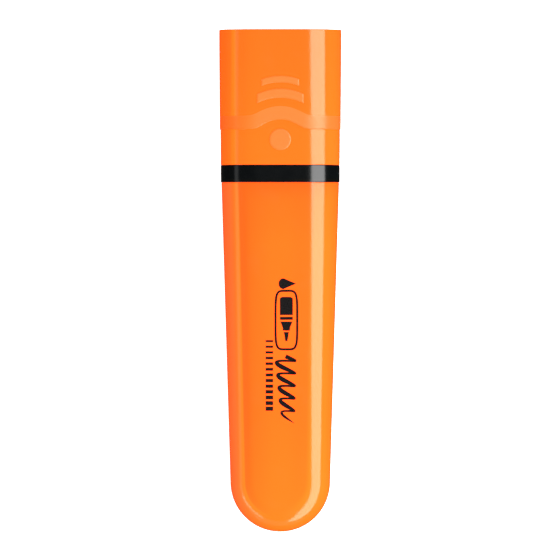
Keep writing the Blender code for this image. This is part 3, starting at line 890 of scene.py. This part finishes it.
class Cap:
    """The cap's outside: half width and half thickness grow evenly from mouth to end."""

    def __init__(self):
        s = sizes()
        self.ratio, self.mouth, self.top = s.edge_ratio, CAP[0][1], CAP[1][1]
        self.flare_width, self.flare_thickness = s.cap_flare_width, s.cap_flare_thickness

    def grown(self, y):
        return (y - self.mouth) / (self.top - self.mouth)

    def half_width(self, y):
        return HOLDER[1][0] + self.flare_width * self.grown(y)

    def half_thickness(self, y):
        return HOLDER[1][2] + self.flare_thickness * self.grown(y)

    def rows(self, ring, path):
        """Sections along a path of (y, how far outside the skirt, lift, arch half width).

        A point's y is raised by lift times the wave at its own x, and its height is
        taken at that y, so that the faces stay planes under the arch.
        """
        y, out, lift, arch = (column(values) for values in path.T)
        edge = self.ratio * self.half_thickness(y)
        x = ring.face * (self.half_width(y) + out - edge) + ring.edge * edge
        at = y + lift * wave(x, arch)
        return np.stack((x, at, ring.rise * (self.half_thickness(at) + out)), -1)


def make_cap():
    """One closed skin: down the cavity from its end, round the mouth and up the outside.

    The outside is a path of offsets from the skirt, with every corner rounded: the
    skirt, the step up to the hood along the wave, the satin band, the hood, and the
    flat end with a shallow gate mark in its middle.
    """
    s, r, cap = sizes(), relief(), Cap()
    ring = Ring(s.edge_power)
    mouth = FRONT_SEAM + s.seam_gap / 2
    edge = cap.mouth + r.hood_edge
    band = edge + r.band_width
    path = rounded(
        [
            (mouth, -s.edge_round, 0, r.arch_lower),
            (mouth, 0, 0, r.arch_lower),
            (edge, 0, 1, r.arch_lower),
            (edge + HOOD_STEP, r.hood_raise, 1, r.arch_lower),
            (band, r.hood_raise, 1, r.arch_upper),
            (band + (cap.top - band) / 2, r.hood_raise, 0, r.arch_upper),
            (cap.top, r.hood_raise, 0, r.arch_upper),
            (cap.top, r.hood_raise - s.edge_round, 0, r.arch_upper),
        ],
        np.array((0.5, 0.25, 0.25, 0.02, 0.02, 1)) * s.edge_round,
        steps=6,
        measured=2,
    )
    path = refined(path, ROW_STEP / 2, measured=2)
    outside = cap.rows(ring, path)
    inward = np.linspace(*END_SHARES, 6)[1:].reshape(-1, 1, 1)
    end = outside[-1] * np.array((1, 0, 1)) * inward + np.array((0, cap.top, 0))
    share, depth = np.array(GATE).T
    gate = circles(ring.count, cap.top - GATE_DEPTH * depth, GATE_RADIUS * share)
    cavity = cavity_rows(ring, cap, mouth)
    rows = np.concatenate((pole(cavity[0]), cavity, outside, end, gate, pole(gate[-1])))
    middle = (path[:-1, 0] + path[1:, 0]) / 2
    satin, first = (middle > edge) & (middle < band), len(cavity) + 1
    marks = np.zeros(len(rows) - 1)
    marks[first : first + len(satin)] = satin
    shape = Shape().skin(rows, finish=marks)

    bore = LINER[1][0] + SEAT_CLEARANCE
    low, high = LINER[1][1] - SEAT_RING_DEPTH, LINER[1][1] + s.cap_end_wall / 2
    radius = np.array((bore, bore + SEAT_RING_WALL, bore + SEAT_RING_WALL, bore))
    shape.skin(circles(ring.count, (low, low, high, high), radius), closed_path=True)
    finishes = [polished_orange("cap_orange", cap_painted_light_and_shade, no_painted_tint), satin_orange()]
    return shape.piece("cap_moulding", "cap", finishes, "orange_plastic", ["cap_shell"])


def cavity_rows(ring, cap, mouth):
    """The cap's inside from its closed end to its mouth, with the groove for the bead."""
    s = sizes()
    path = rounded(
        [
            (cap.top - s.cap_end_wall, 4 * s.edge_round),
            (cap.top - s.cap_end_wall, CAVITY_DRAFT),
            (BEAD_PLACE + 2 * BEAD_HALF_LENGTH, 0),
            (BEAD_PLACE, -BEAD_RAISE),
            (BEAD_PLACE - 2 * BEAD_HALF_LENGTH, 0),
            (mouth + CAVITY_LEAD, 0),
            (mouth, -CAVITY_LEAD),
        ],
        2 * s.edge_round,
    )
    y, inset = refined(path, 2 * ROW_STEP).T
    gap = s.cap_wall + inset
    return ovals(ring, y, HOLDER[1][0] - gap, HOLDER[1][2] - gap, s.edge_ratio)


# ------------------------------------------------------------------ ripples and print

# Each arc: lower and upper edge above the mouth, and half width.
ARCS = ((15.25 * MM, 17.4 * MM, 5.4 * MM), (18.8 * MM, 20.35 * MM, 4.35 * MM))
ARC_EDGE, ARC_STEPS = 0.3 * MM, (40, 10)
RIPPLE_SINK = 0.1 * MM
BUTTON_STEPS = 72


def quarter_round(distance, radius):
    """Height of a round edge at a distance inside it, from 0 to 1 and then level."""
    t = np.clip(distance / radius, 0, 1)
    return np.sqrt(1 - (1 - t) ** 2)


def rim_stops(half, round_width, steps=6):
    """Places over a rounded rim, closest together at its outer edge, where they start."""
    return half - round_width * (1 - np.cos(np.linspace(0, math.pi / 2, steps + 1)))


def edge_stops(half, round_width, middle_steps):
    """Places across a width, closer together over the rims at both edges."""
    rim = rim_stops(half, round_width)
    flat = np.linspace(half - round_width, round_width - half, middle_steps + 1)[1:-1]
    return np.concatenate((rim, flat, -rim[::-1]))


def pad(x, y, face, surface, lift):
    """The top of a raised pad, and its foot just beneath the surface."""
    top = np.stack((x, y, face * (surface + lift)), -1)
    return top, np.stack((x, y, face * (surface - RIPPLE_SINK)), -1)


def make_ripples():
    """Two arcs and a button, on both faces of the cap.

    An arc's edges are the same circle moved along the pen, and its ends are cut
    straight; its grid runs across x and from the lower to the upper edge.  The button
    is a grid of circles.  Both rise from the surface by a quarter round at their edges.
    """
    r, cap = relief(), Cap()
    shape = Shape()
    inner = np.linspace(0, r.button_radius - ARC_EDGE, 8)
    radius = column(np.concatenate((inner, rim_stops(r.button_radius, ARC_EDGE)[-2::-1])))
    angle = np.linspace(0, 2 * math.pi, BUTTON_STEPS, endpoint=False)
    for face in (-1, 1):
        for lower, upper, half in ARCS:
            depth = (upper - lower) / 2
            across = column(edge_stops(half, ARC_EDGE, ARC_STEPS[0]))
            up = edge_stops(depth, ARC_EDGE, ARC_STEPS[1])[::-1]
            x, v = across + 0 * up, up + 0 * across
            y = cap.mouth + lower + depth - r.arc_radius + np.sqrt(r.arc_radius**2 - x**2) + v
            inside = np.minimum(half - np.abs(x), depth - np.abs(v))
            lift = r.hood_raise + r.ripple_raise * quarter_round(inside, ARC_EDGE)
            top, foot = pad(x, y, face, cap.half_thickness(y), lift)
            rows = np.concatenate((top, foot[:, ::-1]), 1)
            shape.skin(np.concatenate((folded(rows[0]), rows, folded(rows[-1]))))
        y = cap.mouth + r.button_height + radius * np.sin(angle)
        lift = r.ripple_raise * quarter_round(r.button_radius - radius, ARC_EDGE)
        top, foot = pad(radius * np.cos(angle), y, face, cap.half_thickness(y), lift)
        shape.skin(np.concatenate((top, foot[::-1])))
    return shape.piece("thumb_ripples", "cap", [satin_orange()], "orange_plastic")


# The print's own axes are in millimetres: along, from its start near the collar
# towards the round end, and up, towards +x.
PRINT_START = 58.7 * MM
PRINT_THICKNESS, PRINT_SINK = 0.012 * MM, 0.02 * MM
PRINT_EDGE = 0.02  # least half width, so that no stroke ends in a point
DROP_PLACE, DROP_FOOT, DROP_HEIGHT, DROP_HALF_WIDTH, DROP_BELLY = 1.35, -0.4, 4.0, 1.25, 0.28
FRAME_MIDDLE, FRAME_HALF, FRAME_POWER, FRAME_LINE = (9.75, 1.4), (6.75, 2.5), 0.4, 0.26
# The marker's body, ring, shoulder and nib: places along it, and half widths there.
MARKER = (
    ((4.4, 4.7, 8.6), (1.0, 1.5, 1.5)),
    ((9.0, 9.7), (1.5, 1.5)),
    ((10.1, 11.5, 12.2), (1.4, 0.85, 0.8)),
    ((12.5, 14.6), (0.6, 0.25)),
)
SCRIBBLE_START, SCRIBBLE_LENGTH, SCRIBBLE_WAVES, SCRIBBLE_HEIGHT = 17.9, 15.2, 5.25, 2.3
GAUGE_LINES, GAUGE_ENDS, GAUGE_SPAN = 13, (14.6, 30.2), (-3.4, -1.65)
GAUGE_HALF_WIDTHS = (0.24, 0.48)


def stroke(shape, x, y, half_width, closed):
    """A line of print on the barrel's face, carried along a path with a varying width.

    The path's normal is found from the differences between its neighbours, and each
    ring has the left edge and the right edge, above and under the surface.
    """
    path = np.stack((x, y), -1)
    if closed:
        ahead, behind = np.roll(path, -1, 0), np.roll(path, 1, 0)
    else:
        ahead = np.concatenate((path[1:], 2 * path[-1:] - path[-2:-1]))
        behind = np.concatenate((2 * path[:1] - path[1:2], path[:-1]))
    way = ahead - behind
    way = way / np.linalg.norm(way, axis=1, keepdims=True)
    aside = np.stack((-way[:, 1], way[:, 0]), -1) * column(half_width)
    sides = np.stack((path + aside, path - aside, path - aside, path + aside), 1)
    high = np.array((PRINT_THICKNESS, PRINT_THICKNESS, -PRINT_SINK, -PRINT_SINK))
    z = Barrel().half_thickness(sides[..., 1]) + high
    rows = np.concatenate((sides, z[..., None]), -1)
    if not closed:
        rows = np.concatenate((folded(rows[0]), rows, folded(rows[-1])))
    shape.skin(rows, closed_path=closed)


def make_print():
    """A generic mark in black on the barrel: a drop, a framed marker, a scribble, a gauge.

    It reads along the pen.  Every figure is a stroke whose half width varies along it.
    """
    shape = Shape()

    def draw(along, up, half_width, closed=False):
        path = np.broadcast_arrays(*(np.asarray(v, float) * MM for v in (along, up, half_width)))
        stroke(shape, path[1], PRINT_START - path[0], path[2], closed)

    # The drop: a half circle that narrows evenly to its tip.
    t = np.linspace(0, 1, 60)
    belly = np.sqrt(np.clip(1 - (1 - t / DROP_BELLY) ** 2, 0, 1))
    width = np.where(t < DROP_BELLY, belly, (1 - t) / (1 - DROP_BELLY))
    draw(DROP_PLACE, DROP_FOOT + DROP_HEIGHT * t, DROP_HALF_WIDTH * width + PRINT_EDGE)
    # The frame: |x / a|^n + |y / b|^n = 1, with the power 2 / n.
    turn = np.linspace(0, 2 * math.pi, 161)[:-1]
    line = [
        middle + half * np.sign(swing) * np.abs(swing) ** FRAME_POWER
        for middle, half, swing in zip(FRAME_MIDDLE, FRAME_HALF, (np.cos(turn), np.sin(turn)))
    ]
    draw(*line, FRAME_LINE, closed=True)
    for places, half_widths in MARKER:
        draw(places, FRAME_MIDDLE[1], half_widths)
    # The scribble: a sine that leans forward, pressed harder on the way down.
    t = np.linspace(0, 1, 400)
    phase = 2 * math.pi * SCRIBBLE_WAVES * t
    press = 0.24 + 0.28 * (0.5 + 0.5 * np.cos(phase + 0.5)) ** 2
    draw(
        SCRIBBLE_START + SCRIBBLE_LENGTH * t + 0.55 * np.sin(phase + 0.4),
        1.2 + 0.6 * t + SCRIBBLE_HEIGHT * (1 - 0.4 * t) * np.sin(phase),
        press * (1 - t**12) + PRINT_EDGE,
    )
    # The gauge: short lines from fine to broad.
    half_widths = np.linspace(*GAUGE_HALF_WIDTHS, GAUGE_LINES)
    for place, half in zip(np.linspace(*GAUGE_ENDS, GAUGE_LINES), half_widths):
        draw((place, place), GAUGE_SPAN, half)
    return shape.piece("barrel_print", "pen", [printing_ink()], "black_plastic")


# ------------------------------------------------------------------ inside the pen

PLUG_LEAD = 0.5 * MM
PLUG_CLEARANCE = 0.2 * MM
PLUG_WALL = 1.1 * MM
SHOULDER_CLEARANCE = 0.25 * MM
SHOULDER_LENGTH = 8.45 * MM
SHOULDER_BEVEL = 0.6 * MM
FRONT_PLATE = 1.4 * MM
COLLAR_BEVEL = 0.2 * MM
NOSE_WALL = 1.14 * MM
NOSE_CONE = 3.6 * MM
NOSE_TAPER = 0.4 * MM
NOSE_FILLET = 0.6 * MM
TUBE_WALL = 1.0 * MM
TUBE_REAR = 2.0 * MM
NIB_CORNER = 0.5 * MM
NIB_CLEARANCE = 0.1 * MM
NIB_SLANT = math.radians(25)
NIB_BEVEL_LENGTH = 2.6 * MM
NIB_EDGE_THICKNESS = 1.1 * MM
ROD_ROUND = 0.4 * MM
FILM_WALL = 0.2 * MM
LINER_WALL = 0.8 * MM
LINER_MIDDLE = 0.4 * MM


def make_nib_holder():
    """One closed skin with a hole: plug, collar, shoulder and nose, and back inside.

    Its path in (y, half width, half thickness) runs forward over ovals to the
    shoulder's face, then over circles along the nose, and returns through the nib's
    channel, round the tube behind it and along the inside of the plug.
    """
    s, barrel = sizes(), Barrel()
    ring = Ring(s.edge_power, EDGE_STEPS, HIDDEN_FACE_STEPS)
    channel = half_size(NIB) + NIB_CLEARANCE
    nose = math.hypot(*half_size(NIB)) + NOSE_WALL
    rear, tip = HOLDER[0][1], HOLDER[1][1]
    collar_rear, collar_front = REAR_SEAM + s.seam_gap / 2, FRONT_SEAM - s.seam_gap / 2
    shoulder = COLLAR_FRONT + SHOULDER_LENGTH
    plate = shoulder - FRONT_PLATE

    def plug(y, inset=0.0):
        gap = s.barrel_wall + PLUG_CLEARANCE + inset
        return y, barrel.half_width(y) - gap, barrel.half_thickness(y) - gap

    def neck(y, inset=0.0):
        gap = s.cap_wall + SHOULDER_CLEARANCE + inset
        return y, HOLDER[1][0] - gap, HOLDER[1][2] - gap

    outer = rounded(
        [
            plug(rear, PLUG_LEAD),
            plug(rear + PLUG_LEAD),
            plug(collar_rear),
            (collar_rear, HOLDER[1][0], HOLDER[1][2]),
            (collar_front, HOLDER[1][0], HOLDER[1][2]),
            neck(collar_front),
            neck(BEAD_PLACE - BEAD_HALF_LENGTH),
            neck(BEAD_PLACE, -BEAD_RAISE),
            neck(BEAD_PLACE + BEAD_HALF_LENGTH),
            neck(shoulder),
            neck(shoulder, 2 * SHOULDER_BEVEL),
        ],
        np.array((1, 0.2, 0.8, 0.8, 1, 2, 1, 2, 3)) * COLLAR_BEVEL,
    )
    nose_path = rounded(
        [
            (shoulder, nose + 1.5 * NOSE_FILLET),
            (shoulder, nose),
            (tip - NOSE_CONE, nose),
            (tip, nose - NOSE_TAPER),
            (tip, channel[0] + NOSE_WALL / 2),
        ],
        NOSE_FILLET,
    )
    tube_rear = rear + TUBE_REAR
    grown = np.array((0, 0, TUBE_WALL, TUBE_WALL))
    tube_y, tube_corner = (tip, tube_rear, tube_rear, plate), NIB_CORNER + grown / 2
    inner = np.array([neck(plate, PLUG_WALL), plug(COLLAR_REAR, PLUG_WALL), plug(rear, PLUG_WALL)])
    rows = (
        ovals(ring, *refined(outer, ROW_STEP).T, s.edge_ratio),
        circles(ring.count, *refined(nose_path, ROW_STEP).T),
        round_boxes(ring, tube_y, channel[0] + grown, channel[1] + grown, tube_corner),
        ovals(ring, *inner.T, s.edge_ratio),
    )
    shape = Shape().skin(np.concatenate(rows), closed_path=True)
    wall = barrel.half_width(rear) - s.barrel_wall - PLUG_CLEARANCE - PLUG_WALL / 2
    near = channel[0] + TUBE_WALL / 2
    web_y = np.array((tube_rear + PLUG_LEAD, plate + FRONT_PLATE / 2))
    half_web = np.full(2, TUBE_WALL / 2)
    for side in (-1, 1):
        shape.skin(bar(web_y, (side * (near + wall) / 2, (wall - near) / 2), -half_web, half_web))
    return shape.piece("collar_and_nose", "pen", [black_plastic()], "black_plastic", ["nib_holder"])


def make_nib():
    """The nib: sections of a rounded rectangle, slanted so that one corner leads.

    A point's y falls by tan(slant) times its distance from the leading side, less and
    less towards the rear.  The bevel thins it to the chisel's edge, and the last
    section is a line, which closes the skin.
    """
    ring = Ring(2, HIDDEN_EDGE_STEPS, NIB_FACE_STEPS)
    half_width, half_thickness = half_size(NIB)
    rear, tip = NIB[0][1], NIB[1][1]
    # Each row: y, how far in from the sides, half thickness, share of the slant.
    path = rounded(
        [
            (rear, NIB_CORNER / 2, half_thickness - NIB_CORNER / 2, 0),
            (rear, 0, half_thickness, 0),
            (tip - 3 * NIB_BEVEL_LENGTH, 0, half_thickness, 0),
            (tip - NIB_BEVEL_LENGTH, 0, half_thickness, 1),
            (tip, 0, NIB_EDGE_THICKNESS / 2, 1),
            (tip, NIB_EDGE_THICKNESS / 2, 0, 1),
        ],
        np.array((0.3, 1, 1.2, 0.5)) * MM,
        measured=3,
    )
    y, inset, thickness, slant = refined(path, ROW_STEP / 2, measured=3).T
    corner = np.minimum(NIB_CORNER, 0.7 * thickness)
    rows = round_boxes(ring, y, half_width - inset, thickness, corner)
    rows[..., 1] += column(slant) * math.tan(NIB_SLANT) * (rows[..., 0] - half_width)
    shape = Shape().skin(np.concatenate((pole(rows[0]), rows)))
    soaked = fibre("nib_fibre", finish_settings().fibre, NIB_STRANDS, 0.8)
    return shape.piece("chisel_nib", "pen", [soaked], "nib_fibre", ["nib"])


def make_reservoir():
    """The fibre rod, with the socket for the nib's tail in its front, and its film sleeve.

    The rod is ovals from its rear to its front, then the socket's sections back to
    the socket's floor.  The sleeve is a loop of ovals: outside forward, inside back.
    """
    s = sizes()
    ring = Ring(s.edge_power, HIDDEN_EDGE_STEPS, HIDDEN_FACE_STEPS)
    half_width, half_thickness = half_size(RESERVOIR)
    rear, front = RESERVOIR[0][1], RESERVOIR[1][1]
    inset = half_thickness / 4
    path = rounded([(rear, inset), (rear, 0), (front, 0), (front, inset)], ROD_ROUND)
    y, inset = refined(path, 6 * ROW_STEP).T
    rod = ovals(ring, y, half_width - inset, half_thickness - inset, s.edge_ratio)
    floor = NIB[0][1] - 2 * NIB_CLEARANCE
    socket = round_boxes(ring, (front, floor), *(half_size(NIB) + 2 * NIB_CLEARANCE), NIB_CORNER)
    rows = np.concatenate((pole(rod[0]), rod, socket, pole(socket[-1])))
    soaked = fibre("reservoir_fibre", finish_settings().wadding, WADDING_STRANDS, 0.95)
    Shape().skin(rows).piece("fibre_rod", "pen", [soaked], "reservoir_fibre", ["ink_reservoir"])

    half_width, half_thickness = half_size(FILM)
    y = (FILM[0][1], FILM[1][1], FILM[1][1], FILM[0][1])
    inset = np.array((0, 0, FILM_WALL, FILM_WALL))
    rows = ovals(ring, y, half_width - inset, half_thickness - inset, s.edge_ratio)
    sleeve = Shape().skin(rows, closed_path=True)
    return sleeve.piece("film_sleeve", "pen", [clear_film()], "clear_film", ["reservoir_film"])


def make_liner():
    """The inner cap, turned: a profile of (y, radius) with its corners rounded."""
    mouth, end, outer = LINER[0][1], LINER[1][1], LINER[1][0]
    path = rounded(
        [
            (end - LINER_WALL, LINER_MIDDLE),
            (end - LINER_WALL, outer - LINER_WALL),
            (mouth, outer - LINER_WALL),
            (mouth, outer),
            (end, outer),
            (end, LINER_MIDDLE),
        ],
        np.array((0.5, 0.3, 0.2, 0.4)) * MM,
    )
    rows = circles(LINER_STEPS, *refined(path, 2 * ROW_STEP).T)
    shape = Shape().skin(np.concatenate((pole(rows[0]), rows, pole(rows[-1]))))
    return shape.piece("liner_cup", "cap", [liner_plastic()], "liner_plastic", ["inner_cap"])


# ------------------------------------------------------------------ stage

# Each light's centre, its width and length, and what it points at, in light heights.
LIGHTS = {
    "key": ((0.74, -0.5, 1), (1.0, 2.0), (0.74, -0.5, 0)),
    "strip": ((-1.2, 0, 1), (0.54, 4.6), (-1.2, 0, 0)),
    "front": ((0, -1.6, 0.8), (2.0, 1.0), (0, 0, 0)),
    "corner": ((-0.79, -0.85, 1), (0.85, 0.22), (0, 0, 0)),
}
FLOOR_STEPS = 128
FLOOR_RINGS = (0.0, 0.1, 0.3, 0.6, 1.0)  # of the floor's radius
FLOOR_FADE = (0.45, 0.95)  # of the floor's radius, where it starts to fade and is gone
VIEW_MIDDLE = (-0.07 * MM, 58.19 * MM)
CAMERA_RANGE = (0.01, 20)


def area_light(name, centre, area, target, radiance):
    """A rectangular light; a Lambertian one of this radiance gives pi * area * radiance."""
    lamp = bpy.data.lights.new(name, "AREA")
    lamp.shape = "RECTANGLE"
    lamp.size, lamp.size_y = area
    lamp.energy = math.pi * area[0] * area[1] * radiance
    made = add_object(name, lamp)
    made.location = Vector(centre)
    made.rotation_euler = (Vector(target) - Vector(centre)).to_track_quat("-Z", "Y").to_euler()
    made.visible_camera = False


def make_world(look):
    """White to the camera, dim in reflections, and a fill for the rest, more from the right."""
    world = bpy.data.worlds.new("studio")
    bpy.context.scene.world = world
    world.use_nodes = True
    nodes, background = Nodes(world.node_tree), world.node_tree.nodes["Background"]
    direction = nodes.node("ShaderNodeTexCoord", output="Generated")
    right = nodes.node("ShaderNodeSeparateXYZ", inputs={"Vector": direction}, output="X")
    fill = right.between(look.fill, look.fill * (1 + look.fill_lean))
    glossy = nodes.node("ShaderNodeLightPath", output="Is Glossy Ray")
    seen = nodes.node("ShaderNodeLightPath", output="Is Camera Ray")
    nodes.feed(background.inputs["Color"], (1, 1, 1, 1))
    strength = seen.between(glossy.between(fill, look.surround), 1.0)
    nodes.feed(background.inputs["Strength"], strength)


def floor_paper(look):
    """White paper that turns clear towards the floor's rim."""
    finish = Finish(
        "floor_paper",
        Roughness=0.9,
        Specular_IOR_Level=0.1,
        Emission_Color=(1, 1, 1),
        Emission_Strength=look.floor_glow,
    )
    place = finish.node("ShaderNodeTexCoord", output="Object")
    grain = finish.noise(place, PAPER_GRAIN, 3.0)
    finish.set(Base_Color=finish.mottled(grain, look.floor, 0.995, 1.005))
    settings = {"operation": "LENGTH"}
    length = finish.node("ShaderNodeVectorMath", settings, {0: place}, output="Value")
    faded = length.ease(*(share * look.floor_radius for share in FLOOR_FADE))
    paper = Value(finish, finish.shader.outputs[0])
    clear = finish.node("ShaderNodeBsdfTransparent")
    mixed = finish.node("ShaderNodeMixShader", inputs={0: faded, 1: paper, 2: clear})
    finish.feed(finish.tree.nodes["Material Output"].inputs["Surface"], mixed)
    return finish.material


def make_floor(look):
    """A pale round sheet that fades out, so that it has no edge in any view."""
    radius = column(FLOOR_RINGS) * look.floor_radius
    angle = np.linspace(0, 2 * math.pi, FLOOR_STEPS, endpoint=False)
    x, y = radius * np.cos(angle), radius * np.sin(angle)
    index = np.arange(x.size).reshape(x.shape)
    near, far = index[:-1], index[1:]
    quads = np.stack((near, far, np.roll(far, -1, 1), np.roll(near, -1, 1)), -1).reshape(-1, 4)
    mesh = bpy.data.meshes.new("floor")
    mesh.from_pydata(np.stack((x, y, 0 * x), -1).reshape(-1, 3).tolist(), [], quads.tolist())
    weld(mesh)
    mesh.materials.append(floor_paper(look))
    floor = add_object("floor", mesh)
    floor.visible_glossy = floor.visible_diffuse = False


def make_camera(look):
    """A long lens straight above the pen's front face, with the cap at the top."""
    lens = bpy.data.cameras.new("camera")
    lens.lens = lens.sensor_width * look.camera_distance / look.view_width
    lens.clip_start, lens.clip_end = CAMERA_RANGE
    camera = add_object("camera", lens)
    place = to_frame(np.array((*VIEW_MIDDLE, look.camera_distance)))
    camera.matrix_world = Matrix.Translation(place) @ Matrix.Rotation(LEAN, 4, "X")
    bpy.context.scene.camera = camera


def make_stage():
    look = bpy.context.scene.highlighter_stage
    make_world(look)
    make_floor(look)
    make_camera(look)
    for name, light in LIGHTS.items():
        centre, area, target = (look.light_height * np.array(share) for share in light)
        area_light(name, centre, area, target, getattr(look, name + "_radiance"))
    bpy.context.scene.view_settings.view_transform = "Standard"


# ------------------------------------------------------------------ operators


class HIGHLIGHTER_OT_barrel(bpy.types.Operator):
    """Build the barrel with its ribs"""

    bl_idname = "highlighter.barrel"
    bl_label = "Barrel"

    def execute(self, context):
        make_barrel()
        return {"FINISHED"}


class HIGHLIGHTER_OT_print(bpy.types.Operator):
    """Lay the generic print on the barrel"""

    bl_idname = "highlighter.print"
    bl_label = "Barrel Print"

    def execute(self, context):
        make_print()
        return {"FINISHED"}


class HIGHLIGHTER_OT_nib_holder(bpy.types.Operator):
    """Build the black collar, shoulder and nose"""

    bl_idname = "highlighter.nib_holder"
    bl_label = "Nib Holder"

    def execute(self, context):
        make_nib_holder()
        return {"FINISHED"}


class HIGHLIGHTER_OT_nib(bpy.types.Operator):
    """Build the chisel nib"""

    bl_idname = "highlighter.nib"
    bl_label = "Nib"

    def execute(self, context):
        make_nib()
        return {"FINISHED"}


class HIGHLIGHTER_OT_reservoir(bpy.types.Operator):
    """Build the fibre rod and its film sleeve"""

    bl_idname = "highlighter.reservoir"
    bl_label = "Ink Reservoir"

    def execute(self, context):
        make_reservoir()
        return {"FINISHED"}


class HIGHLIGHTER_OT_cap(bpy.types.Operator):
    """Build the cap with its hood and satin band"""

    bl_idname = "highlighter.cap"
    bl_label = "Cap"

    def execute(self, context):
        make_cap()
        return {"FINISHED"}


class HIGHLIGHTER_OT_ripples(bpy.types.Operator):
    """Raise the arcs and the button on both faces of the cap"""

    bl_idname = "highlighter.ripples"
    bl_label = "Thumb Ripples"

    def execute(self, context):
        make_ripples()
        return {"FINISHED"}


class HIGHLIGHTER_OT_liner(bpy.types.Operator):
    """Build the inner cap that seals the nose"""

    bl_idname = "highlighter.liner"
    bl_label = "Inner Cap"

    def execute(self, context):
        make_liner()
        return {"FINISHED"}


class HIGHLIGHTER_OT_stage(bpy.types.Operator):
    """Set up the floor, the lights and the camera"""

    bl_idname = "highlighter.stage"
    bl_label = "Stage"

    def execute(self, context):
        make_stage()
        return {"FINISHED"}


OPERATORS = (
    HIGHLIGHTER_OT_barrel,
    HIGHLIGHTER_OT_print,
    HIGHLIGHTER_OT_nib_holder,
    HIGHLIGHTER_OT_nib,
    HIGHLIGHTER_OT_reservoir,
    HIGHLIGHTER_OT_cap,
    HIGHLIGHTER_OT_ripples,
    HIGHLIGHTER_OT_liner,
    HIGHLIGHTER_OT_stage,
)
SETTINGS = {
    "highlighter_sizes": HighlighterSizes,
    "highlighter_relief": HighlighterRelief,
    "highlighter_finish": HighlighterFinish,
    "highlighter_stage": HighlighterStage,
}


class HIGHLIGHTER_PT_sidebar(bpy.types.Panel):
    """Lists every step and the sizes and colours it reads"""

    bl_idname = "HIGHLIGHTER_PT_sidebar"
    bl_label = "Highlighter"
    bl_space_type = "VIEW_3D"
    bl_region_type = "UI"
    bl_category = "Highlighter"

    def draw(self, context):
        steps = self.layout.column(align=True)
        for step in OPERATORS:
            steps.operator(step.bl_idname)
        for name, group in SETTINGS.items():
            box = self.layout.box()
            for setting in group.__annotations__:
                box.prop(getattr(context.scene, name), setting)


def register():
    for group in SETTINGS.values():
        bpy.utils.register_class(group)
    for name, group in SETTINGS.items():
        setattr(bpy.types.Scene, name, PointerProperty(type=group))
    for step in OPERATORS:
        bpy.utils.register_class(step)
    bpy.utils.register_class(HIGHLIGHTER_PT_sidebar)


def unregister():
    bpy.utils.unregister_class(HIGHLIGHTER_PT_sidebar)
    for step in reversed(OPERATORS):
        bpy.utils.unregister_class(step)
    for name, group in SETTINGS.items():
        delattr(bpy.types.Scene, name)
        bpy.utils.unregister_class(group)


def main():
    register()
    for step in OPERATORS:
        group, name = step.bl_idname.split(".")
        getattr(getattr(bpy.ops, group), name)()


if __name__ == "__main__":
    main()
